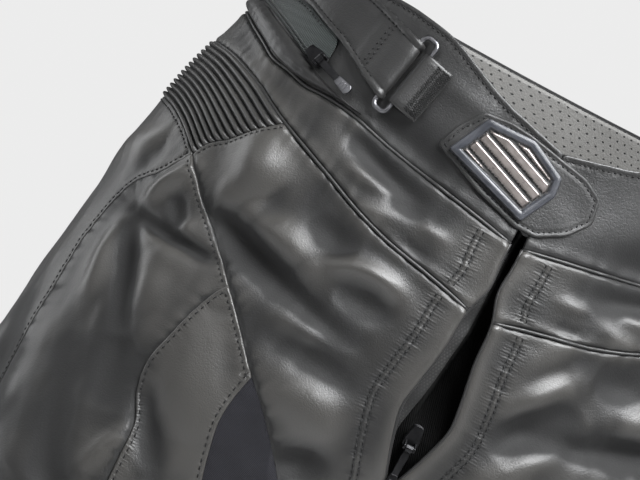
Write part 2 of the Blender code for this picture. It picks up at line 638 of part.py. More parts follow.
LAYER = LAY_GAP + 3 * STRAP_HALF + 0.3 * MM     # middle of the layer on top
strap_top = [(0.008, 0.0058), (0.014, 0.0042), (0.019, LAYER), (0.024, LAYER - 0.0004),
             (0.030, 0.0014), (0.042, LAY_GAP + STRAP_HALF)]
strap_top += [(s, LAY_GAP + STRAP_HALF) for s in (0.054, 0.066, 0.079, 0.092, 0.104)]
loop_top = [(0.006, 0.0052), (0.010, LAYER + 0.0003), (0.0145, LAYER)]


def ring_wire(name, side):
    """The flat ring that joins the strap to its loop."""
    ends = ((-0.12, 1.12))
    centre = -BAR_GAP / 2
    path = []
    for corner in range(4):
        t_mid = ends[1] - 0.09 if corner in (0, 1) else ends[0] + 0.09
        s_way = 1 if corner in (0, 3) else -1
        t_way = 1 if corner in (0, 1) else -1
        angles = np.linspace(0, 90, 4) if corner in (0, 2) else np.linspace(90, 0, 4)
        for a in np.radians(angles):
            path.append((centre + s_way * (BAR_GAP / 2 - 0.003 + 0.003 * np.cos(a)),
                         t_mid + t_way * 0.09 * np.sin(a)))
    rows = []
    for k in range(len(path)):
        rows.append(path[k])
        if k in (7, 15):
            s0, t0 = path[k]
            s1, t1 = path[(k + 1) % len(path)]
            rows += [(s0 + (s1 - s0) * f, t0 + (t1 - t0) * f) for f in (0.25, 0.5, 0.75)]
    rows = np.array(rows)
    mid = strap_point(rows[:, 0], rows[:, 1], np.full(len(rows), BAR_H), side)
    up = strap_point(rows[:, 0], rows[:, 1], np.full(len(rows), BAR_H + 0.001), side) - mid
    up /= np.linalg.norm(up, axis=1, keepdims=True)
    ahead = np.roll(mid, -1, axis=0) - np.roll(mid, 1, axis=0)
    ahead /= np.linalg.norm(ahead, axis=1, keepdims=True)
    wide = np.cross(ahead, up)
    verts, faces, sides, count = [], [], 8, len(mid)
    for k in range(count):
        for i in range(sides):
            a = TURN * i / sides
            verts.append(mid[k] + WIRE * (np.cos(a) * wide[k] + np.sin(a) * up[k]))
    for k in range(count):
        for i in range(sides):
            a, b = k * sides + i, k * sides + (i + 1) % sides
            c, d = (k + 1) % count * sides + (i + 1) % sides, (k + 1) % count * sides + i
            faces += [(a, b, c), (a, c, d)]
    return add_object(name, verts, [f[::-1] for f in faces], "metal")


for word, side in SIDES:
    ribbon(f"waist_strap_{word}", wrap_path(0, 1, 0.020, strap_top), STRAP_HALF, 0, 1, 6,
           side, "leather")
    ribbon(f"strap_loop_{word}", wrap_path(-BAR_GAP, -1, 0.0145, loop_top), STRAP_HALF,
           0.05, 0.93, 5, side, "leather")
    ring_wire(f"strap_ring_{word}", side)

# Closing tab and plate across the centre front. Rows of (x, z).
TAB = [(-0.058, -0.025), (-0.053, -0.012), (-0.044, 0.000), (-0.030, 0.0015), (-0.018, 0.0005),
       (0.000, -0.003), (0.016, -0.006), (0.027, -0.012), (0.029, -0.025), (0.020, -0.036),
       (0.006, -0.044), (-0.006, -0.044), (-0.030, -0.037)]
PLATE = [(-0.052, -0.025), (-0.041, -0.0025), (-0.016, -0.0015), (0.004, -0.012),
         (0.005, -0.022), (-0.005, -0.0405)]
TAB_THICK = 1.8 * MM
PLATE_THICK = 3.2 * MM


def straight_loop(rows, step):
    rows = np.array(rows, float)
    points = []
    for a, b in zip(rows, np.roll(rows, -1, axis=0)):
        count = max(1, int(round(np.linalg.norm(b - a) / step)))
        points += [a + (b - a) * k / count for k in range(count)]
    loop = np.array(points)
    return loop if counter_clockwise(loop) else loop[::-1]


def centre_sheet(name, rows, step, low, high, material):
    loop = straight_loop(rows, step)
    flat, faces = tiled(loop, step / FINE)
    return wall(name, flat, faces, centre_place, low, high, material, False)


centre_sheet("waist_tab", TAB, 0.009, LAY_GAP, LAY_GAP + TAB_THICK, "leather")
PLATE_LOW = 2 * LAY_GAP + TAB_THICK
centre_sheet("waist_plate", PLATE, 0.009, PLATE_LOW, PLATE_LOW + PLATE_THICK, "rubber")

# Underlap behind the fly, deepest at the middle. Rows of (x, z).
UNDERLAP = [(-0.022, -0.056), (0.022, -0.056), (0.023, -0.150), (0.017, -0.186),
            (0.000, -0.196), (-0.017, -0.186), (-0.023, -0.150)]
UNDERLAP_THICK = 1.6 * MM
UNDERLAP_DIP = 4.0 * MM


def underlap_out(flat):
    dip = np.exp(-(flat[:, 0] / 0.011)**2)
    return -(WALL + LINE_GAP) - UNDERLAP_DIP * dip


def underlap_in(flat):
    return underlap_out(flat) - UNDERLAP_THICK


centre_sheet("fly_underlap", UNDERLAP, 0.010, underlap_in, underlap_out, "leather")

# Perforated lining inside the back of the waist, in one piece across the centre back
LINING_U = 0.62
LINING_TOP, LINING_LOW = 0.039, -0.020
LINING_THICK = 1.4 * MM


def waist_lining():
    columns, rows = 33, 5
    share = np.linspace(-1, 1, columns)
    verts = []
    for out in (-(WALL + LINE_GAP), -(WALL + LINE_GAP + LINING_THICK)):
        for z in np.linspace(LINING_TOP, LINING_LOW, rows):
            u = 1 - np.abs(share) * (1 - LINING_U)
            p = lifted(u, np.full(columns, z), np.full(columns, out), 1)
            p[:, 0] *= np.where(share < 0, 1, -1)
            p[np.abs(share) < 1e-9, 0] = 0
            verts.append(p)
    verts = np.concatenate(verts)
    layer = columns * rows
    faces = []
    for i in range(rows - 1):
        for j in range(columns - 1):
            a = i * columns + j
            b, c, d = a + 1, a + columns + 1, a + columns
            faces += [(a, b, c), (a, c, d)]
    inner = [tuple(v + layer for v in f[::-1]) for f in faces]
    rim = []
    for a, b in edge_loops(faces):
        rim += [(b, a, a + layer), (b, a + layer, b + layer)]
    add_object("waist_lining", verts, faces + inner + rim, "lining")


waist_lining()

# Zip sliders and pulls. Each is built in its own frame: along the pull, across, out.
SLIDER_LONG, SLIDER_WIDE, SLIDER_TALL = 12 * MM, 8.0 * MM, 3.2 * MM
PIN = 0.9 * MM              # radius of the bar the pull swings on
EYE_HOLE, EYE_OUT = 1.2 * MM, 2.2 * MM
PULL_WIDE, PULL_THICK = 6.4 * MM, 1.6 * MM
EYE_WIDE = 3.6 * MM
POST_WIDE = 1.2 * MM
PULLS = {}


def local_frame(origin, tip, normal):
    along = tip - origin
    along -= normal * (along @ normal)
    along /= np.linalg.norm(along)
    return along, np.cross(normal, along), normal


def boxes_to_mesh(blocks):
    verts, faces = [], []
    for block in blocks:
        base = len(verts)
        verts += list(block)
        for a, b, c, d in ((0, 3, 2, 1), (4, 5, 6, 7), (0, 1, 5, 4), (1, 2, 6, 5),
                           (2, 3, 7, 6), (3, 0, 4, 7)):
            faces += [(base + a, base + b, base + c), (base + a, base + c, base + d)]
    return verts, faces


def turned_prism(section, y0, y1):
    """A section in (along, out) carried across from y0 to y1."""
    count = len(section)
    verts = [(a, y, h) for y in (y0, y1) for a, h in section]
    faces = [(i, (i + 1) % count, count + (i + 1) % count, count + i) for i in range(count)]
    return verts, faces


def slider(name, origin, axes, base_h, pin_h):
    """Body with two cheeks that carry the bar, in one closed section."""
    along, across, out = axes
    half = SLIDER_WIDE / 2
    inner = EYE_WIDE / 2 + 0.3 * MM
    outer = inner + POST_WIDE
    top = base_h + SLIDER_TALL
    body = [(-SLIDER_LONG, base_h), (-SLIDER_LONG + 0.002, base_h), (0.001, base_h),
            (0.001, top - 0.001), (-0.0015, top), (-SLIDER_LONG + 0.002, top),
            (-SLIDER_LONG, top - 0.0015)]
    verts, faces = turned_prism(body, -half, half)
    count = len(body)
    faces += [tuple(range(count)), tuple(range(2 * count - 1, count - 1, -1))]
    solids = [(verts, faces)]
    for sign in (-1, 1):
        cheek = [(-0.0032, top + 0.00001), (0.0008, top - 0.0006), (0.0012, pin_h + 0.0006),
                 (0.0004, pin_h + 0.0013), (-0.0014, pin_h + 0.0013)]
        y0, y1 = sorted((sign * inner, sign * outer))
        v, f = turned_prism(cheek, y0, y1)
        f += [tuple(range(len(cheek))), tuple(range(2 * len(cheek) - 1, len(cheek) - 1, -1))]
        solids.append((v, f))
    ring = [(PIN * np.cos(TURN * k / 10), pin_h + PIN * np.sin(TURN * k / 10))
            for k in range(10)]
    v, f = turned_prism(ring, -inner - 0.0004, inner + 0.0004)
    f += [tuple(range(9, -1, -1)), tuple(range(10, 20))]
    solids.append((v, f))
    return joined(name, solids, origin, axes, "black_metal")


def joined(name, solids, origin, axes, material):
    """Fuses closed pieces into one object."""
    along, across, out = axes
    made = []
    for k, (verts, faces) in enumerate(solids):
        world = [origin + along * a + across * y + out * h for a, y, h in verts]
        ob = add_object(f"{name}_piece{k}" if k else name, world, faces, material)
        fix_normals(ob)
        made.append(ob)
    first = made[0]
    for other in made[1:]:
        fuse = first.modifiers.new("fuse", "BOOLEAN")
        fuse.operation = "UNION"
        fuse.solver = "EXACT"
        fuse.object = other
        deps = bpy.context.evaluated_depsgraph_get()
        mesh = bpy.data.meshes.new_from_object(first.evaluated_get(deps))
        first.modifiers.clear()
        first.data = mesh
        bpy.data.objects.remove(other, do_unlink=True)
    first.data.materials.clear()
    first.data.materials.append(bpy.data.materials[name])
    return first


def fix_normals(ob):
    import bmesh
    bm = bmesh.new()
    bm.from_mesh(ob.data)
    bmesh.ops.recalc_face_normals(bm, faces=bm.faces)
    bm.to_mesh(ob.data)
    bm.free()


def pull(name, origin, axes, pin_h, length, drop, material):
    """Eye round the slider's bar and a flat tab, tilted down to lie on the cloth."""
    eye = [(np.cos(TURN * k / 12) , np.sin(TURN * k / 12)) for k in range(12)]
    count = 12
    verts = [(r * c, y, r * s) for y in (-EYE_WIDE / 2, EYE_WIDE / 2)
             for r in (EYE_OUT, EYE_HOLE) for c, s in eye]
    faces = []
    for i in range(count):
        j = (i + 1) % count
        faces += [(i, j, 2 * count + j, 2 * count + i),
                  (count + j, count + i, 3 * count + i, 3 * count + j),
                  (j, i, count + i, count + j),
                  (2 * count + i, 2 * count + j, 3 * count + j, 3 * count + i)]
    solids = [(verts, faces)]
    w0, w1 = EYE_WIDE / 2, PULL_WIDE / 2
    tab = [(EYE_HOLE + 0.0005, w0), (EYE_OUT + 0.0012, w0), (EYE_OUT + 0.003, w1),
           (length - 0.002, w1), (length, w1 - 0.002)]
    ring = tab + [(a, -y) for a, y in tab[::-1]]
    half = PULL_THICK / 2
    verts = [(a, y, h) for h in (-half, half) for a, y in ring]
    n = len(ring)
    faces = [(i, (i + 1) % n, n + (i + 1) % n, n + i) for i in range(n)]
    faces += [tuple(range(n - 1, -1, -1)), tuple(range(n, 2 * n))]
    solids.append((verts, faces))
    along, across, out = axes
    tilt = np.arcsin(drop / length)
    tilted = (along * np.cos(tilt) - out * np.sin(tilt), across,
              out * np.cos(tilt) + along * np.sin(tilt))
    pin = origin + out * pin_h
    PULLS[name] = (pin, across)
    return joined(name, solids, pin, tilted, material)


PULL_LONG = 25 * MM
PIN_RISE = EYE_OUT + 0.4 * MM       # bar above the slider's body
BASE_H = LAY_GAP + TAPE_THICK + 0.7 * MM
for word, side in SIDES:
    here = np.array([0.232]), np.array([-0.0165])
    there = np.array([0.175]), np.array([-0.0245])
    origin = lifted(*here, np.zeros(1), side)[0]
    tip = lifted(*there, np.zeros(1), side)[0]
    normal = outward(*here)[0] * (side, 1, 1)
    axes = local_frame(origin, tip, normal)
    if side == -1:
        axes = (axes[0], -axes[1], axes[2])
    pin_h = BASE_H + SLIDER_TALL + PIN_RISE
    slider(f"pocket_slider_{word}", origin, axes, BASE_H, pin_h)
    pull(f"pocket_pull_{word}", origin, axes, pin_h, PULL_LONG, 2.4 * MM, "metal")

fly_at = np.array([(0.0, -0.166)])
fly_origin = centre_place(fly_at, 0.0)[0]
fly_tip = centre_place(np.array([(0.0, -0.200)]), 0.0)[0]
fly_out = outward(np.array([1e-5]), fly_at[:, 1])[0] * (0, 1, 1)
fly_out /= np.linalg.norm(fly_out)
fly_axes = local_frame(fly_origin, fly_tip, fly_out)
FLY_BASE = -(WALL + LINE_GAP + UNDERLAP_DIP) + 1.2 * MM
fly_pin = FLY_BASE + SLIDER_TALL + PIN_RISE
slider("fly_slider", fly_origin, fly_axes, FLY_BASE, fly_pin)
pull("fly_pull", fly_origin, fly_axes, fly_pin, PULL_LONG, -1.0 * MM, "black_metal")
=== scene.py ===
"""Looks of the leather trousers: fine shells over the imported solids, sewing, zips, finishes."""

import bmesh
import bpy
import numpy as np
from mathutils import Matrix, Vector
from mathutils.geometry import delaunay_2d_cdt


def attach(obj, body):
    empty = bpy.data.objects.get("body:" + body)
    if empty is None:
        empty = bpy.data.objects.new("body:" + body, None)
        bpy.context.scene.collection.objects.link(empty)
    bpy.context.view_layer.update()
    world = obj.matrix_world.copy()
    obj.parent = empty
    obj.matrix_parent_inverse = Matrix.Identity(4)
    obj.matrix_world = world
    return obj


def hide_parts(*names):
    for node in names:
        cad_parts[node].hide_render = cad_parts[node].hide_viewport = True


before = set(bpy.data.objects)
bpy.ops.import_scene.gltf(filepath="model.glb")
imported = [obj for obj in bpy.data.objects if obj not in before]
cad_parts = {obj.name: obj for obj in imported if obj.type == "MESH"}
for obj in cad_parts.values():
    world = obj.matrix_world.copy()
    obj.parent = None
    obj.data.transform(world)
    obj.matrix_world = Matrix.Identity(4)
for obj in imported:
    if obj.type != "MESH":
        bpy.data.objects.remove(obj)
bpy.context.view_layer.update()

MM = 0.001
TURN = 2 * np.pi
WALL = 2.0 * MM
LAY_GAP = 0.5 * MM           # from a panel to what lies on it
LINE_GAP = 1.1 * MM          # from a panel to what lies inside it
HALF_ROUND = 0.5             # half the hip line on the flat, in metres
CROTCH_Z = -0.272
SHARE_TOP = -0.09            # the trunk turns into legs from here down
KNEE_Z = -0.600
HEM_Z = -1.0
HIP_STEP, LEG_STEP = 4.6 * MM, 13 * MM      # mesh spacing before it is split
LEG_Z = -0.32                # the coarser spacing starts here
BODY = "trousers"
SIDES = (("right", 1), ("left", -1))

# Trunk: z, half width, front depth, back depth
HIPS = np.array([
    (0.08, 0.156, 0.108, 0.116), (0.04, 0.160, 0.110, 0.117),
    (0.00, 0.167, 0.113, 0.120), (-0.05, 0.183, 0.118, 0.128),
    (-0.10, 0.193, 0.122, 0.136), (-0.16, 0.201, 0.124, 0.142),
    (-0.22, 0.207, 0.122, 0.142), (-0.30, 0.210, 0.118, 0.134)])

# Leg: z, centre x, centre y, half width, front depth, back depth
LEG = np.array([
    (0.08, -0.090, 0.000, 0.066, 0.105, 0.110), (-0.12, -0.098, 0.002, 0.098, 0.116, 0.120),
    (-0.27, -0.108, 0.002, 0.107, 0.112, 0.118), (-0.34, -0.117, 0.000, 0.100, 0.104, 0.106),
    (-0.46, -0.131, -0.006, 0.086, 0.092, 0.092), (-0.57, -0.143, -0.014, 0.075, 0.082, 0.080),
    (-0.66, -0.152, -0.010, 0.071, 0.074, 0.078), (-0.76, -0.161, 0.006, 0.068, 0.070, 0.076),
    (-0.88, -0.171, 0.020, 0.060, 0.062, 0.066), (-1.00, -0.180, 0.030, 0.055, 0.058, 0.060)])

# Seams and edges: rows of (u, z). A row where other seams meet is a corner of a panel.
SEAMS = {
    "top": [(0, 0), (0.030, 0.006), (0.050, 0.010), (0.076, 0.017), (0.108, 0.025),
            (0.156, 0.030), (0.220, 0.032), (0.300, 0.037), (0.400, 0.040),
            (0.520, 0.041), (0.660, 0.041), (0.840, 0.041), (1, 0.041)],
    "band_front": [(0, 0), (0.002, -0.026), (0.004, -0.052)],
    "waist_low": [(0.004, -0.052), (0.022, -0.049), (0.060, -0.044), (0.122, -0.037),
                  (0.166, -0.032), (0.206, -0.030), (0.238, -0.030), (0.274, -0.027),
                  (0.310, -0.025), (0.346, -0.020), (0.402, -0.014), (0.452, -0.010),
                  (0.520, -0.008), (0.660, -0.006), (0.840, -0.005), (1, -0.004)],
    "yoke_low": [(0.008, -0.091), (0.022, -0.088), (0.046, -0.084), (0.076, -0.080),
                 (0.110, -0.074), (0.154, -0.065), (0.200, -0.057), (0.232, -0.052),
                 (0.312, -0.039), (0.378, -0.033), (0.442, -0.031), (0.520, -0.031),
                 (0.660, -0.033), (0.840, -0.037), (1, -0.040)],
    "side": [(0.520, 0.041), (0.520, -0.008), (0.520, -0.031)],
    "fly": [(0.004, -0.052), (0.004, -0.062), (0.003, -0.077), (0.008, -0.091),
            (0.010, -0.114), (0.014, -0.134), (0.016, -0.149), (0.012, -0.163),
            (0.006, -0.179), (0.001, -0.191), (0, -0.200)],
    "centre_front": [(0, -0.200), (0, -0.230), (0, -0.250), (0, -0.262), (0, -0.2685),
                     (0, -0.272)],
    "centre_back": [(1, 0.041), (1, -0.004), (1, -0.040), (1, -0.100), (1, -0.160),
                    (1, -0.200), (1, -0.230), (1, -0.250), (1, -0.262), (1, -0.2685),
                    (1, -0.272)],
    "rib_front": [(0.232, -0.052), (0.264, -0.063), (0.288, -0.072), (0.314, -0.080),
                  (0.324, -0.088)],
    "rib_low": [(0.324, -0.088), (0.344, -0.083), (0.374, -0.077), (0.414, -0.072),
                (0.458, -0.070), (0.520, -0.069), (0.600, -0.071)],
    "rib_back": [(0.660, -0.033), (0.650, -0.045), (0.625, -0.060), (0.600, -0.071)],
    "diagonal": [(0.324, -0.088), (0.310, -0.093), (0.296, -0.098), (0.272, -0.107),
                 (0.252, -0.113), (0.220, -0.124), (0.188, -0.137), (0.160, -0.151),
                 (0.126, -0.171), (0.102, -0.185), (0.080, -0.202), (0.060, -0.220),
                 (0.040, -0.238), (0.018, -0.257), (0, -0.272)],
    "side_arc": [(0.324, -0.088), (0.354, -0.104), (0.390, -0.116), (0.404, -0.132),
                 (0.408, -0.150), (0.402, -0.200), (0.395, -0.300), (0.385, -0.420),
                 (0.375, -0.520)],
    "outer_seam": [(0.375, -0.520), (0.3715, KNEE_Z), (0.370, -0.640), (0.368, -0.760),
                   (0.368, -0.880), (0.370, HEM_Z)],
    "thigh_edge": [(0.188, -0.137), (0.196, -0.142), (0.206, -0.153), (0.218, -0.172),
                   (0.229, -0.190), (0.226, -0.204), (0.212, -0.220), (0.214, -0.238),
                   (0.224, -0.260), (0.245, -0.300), (0.290, -0.400), (0.335, -0.475),
                   (0.375, -0.520)],
    "insert_edge": [(0.126, -0.171), (0.131, -0.181), (0.136, -0.197), (0.134, -0.215),
                    (0.131, -0.232), (0.124, -0.270), (0.110, -0.330), (0.085, -0.400),
                    (0.045, -0.460), (0, -0.500)],
    "inseam_front": [(0, -0.272), (0, -0.285), (0, -0.500), (0, KNEE_Z), (0, -0.750),
                     (0, HEM_Z)],
    "inseam_back": [(1, -0.272), (1, -0.285), (1, -0.500), (1, KNEE_Z), (1, -0.750),
                    (1, HEM_Z)],
    "back_side": [(0.600, -0.071), (0.578, -0.120), (0.562, -0.200), (0.555, -0.290)],
    "back_low": [(0.555, -0.290), (0.550, -0.420), (0.545, -0.560), (0.5435, KNEE_Z),
                 (0.540, -0.700), (0.540, -0.850), (0.540, HEM_Z)],
    "seat_low": [(0.555, -0.290), (0.660, -0.308), (0.800, -0.312), (0.920, -0.300),
                 (1, -0.285)],
    "knee": [(0, KNEE_Z), (0.190, KNEE_Z), (0.3715, KNEE_Z), (0.5435, KNEE_Z), (0.770, KNEE_Z),
             (1, KNEE_Z)],
    "hem": [(0, HEM_Z), (0.190, HEM_Z), (0.370, HEM_Z), (0.540, HEM_Z), (0.770, HEM_Z),
            (1, HEM_Z)],
}

# Panels: name, then the seams round it with first and last row
PANELS = {
    "waistband_front": [("top", 0, 9), ("side", 0, 1), ("waist_low", 12, 0),
                        ("band_front", 2, 0)],
    "waistband_back": [("top", 9, 12), ("centre_back", 0, 1), ("waist_low", 15, 12),
                       ("side", 1, 0)],
    "yoke_front": [("waist_low", 0, 12), ("side", 1, 2), ("yoke_low", 11, 0), ("fly", 3, 0)],
    "yoke_back": [("waist_low", 12, 15), ("centre_back", 1, 2), ("yoke_low", 14, 11),
                  ("side", 2, 1)],
    "front_hip": [("yoke_low", 0, 7), ("rib_front", 0, 4), ("diagonal", 0, 14),
                  ("centre_front", 5, 0), ("fly", 10, 3)],
    "side_leg": [("rib_low", 0, 6), ("back_side", 0, 3), ("back_low", 0, 3), ("knee", 3, 2),
                 ("outer_seam", 1, 0), ("side_arc", 8, 0)],
    "side_shin": [("knee", 2, 3), ("back_low", 3, 6), ("hem", 3, 2), ("outer_seam", 5, 1)],
    "outer_thigh": [("side_arc", 0, 8), ("thigh_edge", 12, 0), ("diagonal", 6, 0)],
    "front_leg": [("diagonal", 6, 8), ("insert_edge", 0, 9), ("inseam_front", 2, 3),
                  ("knee", 0, 2), ("outer_seam", 1, 0), ("thigh_edge", 12, 0)],
    "shin": [("inseam_front", 3, 5), ("hem", 0, 2), ("outer_seam", 5, 1), ("knee", 2, 0)],
    "stretch_insert": [("diagonal", 8, 14), ("inseam_front", 0, 2), ("insert_edge", 9, 0)],
    "seat": [("yoke_low", 12, 14), ("centre_back", 2, 10), ("inseam_back", 0, 1),
             ("seat_low", 4, 0), ("back_side", 3, 0), ("rib_back", 3, 0)],
    "back_leg": [("seat_low", 0, 4), ("inseam_back", 1, 3), ("knee", 5, 3), ("back_low", 3, 0)],
    "calf": [("knee", 3, 5), ("inseam_back", 3, 5), ("hem", 5, 3), ("back_low", 6, 3)],
}


def unit(vectors):
    return vectors / np.linalg.norm(vectors, axis=-1, keepdims=True)


def bell(distance, middle, width):
    """1 at the middle, falling away smoothly on both sides."""
    return np.exp(-((distance - middle) / width)**2)


def eased(share):
    """0 to 1 with a soft start and end."""
    return share * share * (3 - 2 * share)


def lengths_along(points):
    """Distance of each point from the first, along the line."""
    return np.r_[0, np.cumsum(np.linalg.norm(np.diff(points, axis=0), axis=1))]


def read_line(at, size, points):
    """Points of a line at the lengths in at."""
    return np.stack([np.interp(at, size, points[:, k]) for k in range(points.shape[1])], -1)


def smooth_table(table, z):
    """Read a table of sections at heights z, smoothly."""
    rows = table[np.argsort(table[:, 0])]
    x, y = rows[:, 0], rows[:, 1:]
    slope = np.gradient(y, x, axis=0)
    z = np.clip(z, x[0], x[-1])
    k = np.clip(np.searchsorted(x, z) - 1, 0, len(x) - 2)
    step = x[k + 1] - x[k]
    s = ((z - x[k]) / step)[..., None]
    step = step[..., None]
    return (y[k] * (2 * s**3 - 3 * s**2 + 1) + slope[k] * step * (s**3 - 2 * s**2 + s)
            + y[k + 1] * (3 * s**2 - 2 * s**3) + slope[k + 1] * step * (s**3 - s**2))


def ring_point(turn, z):
    """Point of the ring at height z, at a turn round the leg's centre."""
    half, front, back = np.moveaxis(smooth_table(HIPS, z), -1, 0)
    cx, cy, rx, rf, rb = np.moveaxis(smooth_table(LEG, z), -1, 0)
    c, s = np.cos(TURN * turn), -np.sin(TURN * turn)

    def reach(depth):
        a = (c / half)**2 + (s / depth)**2
        b = cx * c / half**2 + cy * s / depth**2
        d = (cx / half)**2 + (cy / depth)**2 - 1
        return (-b + np.sqrt(np.maximum(b * b - a * d, 0))) / a
    r_front = reach(front)
    r_hip = np.where(cy + r_front * s < 0, r_front, reach(back))
    r_leg = 1 / np.sqrt((c / rx)**2 + (s / np.where(s < 0, rf, rb))**2)
    w = np.clip((SHARE_TOP - z) / (SHARE_TOP - CROTCH_Z), 0, 1)
    inner = np.clip(c, 0, 1)
    w = np.where(z < CROTCH_Z, 1, w * w * (1 - inner) + w**3 * inner)
    r = r_hip * (1 - w) + r_leg * w
    return cx + r * c, cy + r * s


def find_centre_turn(z, front):
    """Turn at which the ring meets the centre plane."""
    low, high = np.zeros(z.shape), np.full(z.shape, 0.25)
    sign = 1 if front else -1
    for _ in range(34):
        mid = (low + high) / 2
        x, _y = ring_point(sign * mid, z)
        low, high = np.where(x > 0, mid, low), np.where(x > 0, high, mid)
    return low if front else 1 - low


LEVELS = CROTCH_Z + (0.09 - CROTCH_Z) * np.linspace(0, 1, 900)**2
FRONT_TURN, BACK_TURN = find_centre_turn(LEVELS, True), find_centre_turn(LEVELS, False)


def surface(u, z):
    """Point of the right half's smooth outer face."""
    u, z = np.broadcast_arrays(np.asarray(u, float), np.asarray(z, float))
    front = np.where(z < CROTCH_Z, 0, np.interp(z, LEVELS, FRONT_TURN))
    back = np.where(z < CROTCH_Z, 1, np.interp(z, LEVELS, BACK_TURN))
    x, y = ring_point(front + u * (back - front), z)
    return np.stack([x, y, z], -1)


def outward(u, z):
    """Unit vectors out of the cloth; in the centre plane where the halves meet."""
    e = 1e-4
    across = surface(u + e, z) - surface(u - e, z)
    down = surface(u, z - e) - surface(u, z + e)
    n = np.cross(across, down)
    x = surface(u, z)[..., 0]
    fade = np.clip(np.abs(x) / 0.010, 0, 1)
    fade = np.where(z > CROTCH_Z - 0.002, fade, 1)
    n[..., 0] *= fade
    return unit(n)


def counter_clockwise(loop):
    x, y = loop.T
    return np.sum(x * np.roll(y, -1) - np.roll(x, -1) * y) > 0


def drawn_in(loop, gap):
    """The outline moved inwards by gap."""
    if not counter_clockwise(loop):
        loop = loop[::-1]
    ahead = unit(np.roll(loop, -1, axis=0) - loop)
    inward = np.stack([-ahead[:, 1], ahead[:, 0]], -1)
    mean = unit(inward + np.roll(inward, 1, axis=0))
    share = np.maximum(np.sum(mean * inward, axis=1), 0.35)
    return loop + mean * (gap / share)[:, None]


def inside(points, loop):
    """Which points lie inside, and how far each is from the outline."""
    a, b = loop, np.roll(loop, -1, axis=0)
    x, y = points[:, 0][:, None], points[:, 1][:, None]
    cross = (a[:, 1] > y) != (b[:, 1] > y)
    rise = np.where(b[:, 1] == a[:, 1], 1e-12, b[:, 1] - a[:, 1])
    left = x < (b[:, 0] - a[:, 0]) * (y - a[:, 1]) / rise + a[:, 0]
    within = np.sum(cross & left, axis=1) % 2 == 1
    d = b - a
    s = np.clip(np.sum((points[:, None] - a) * d, -1) / np.sum(d * d, -1), 0, 1)
    gap = np.linalg.norm(points[:, None] - a - s[..., None] * d, axis=-1).min(axis=1)
    return within, gap


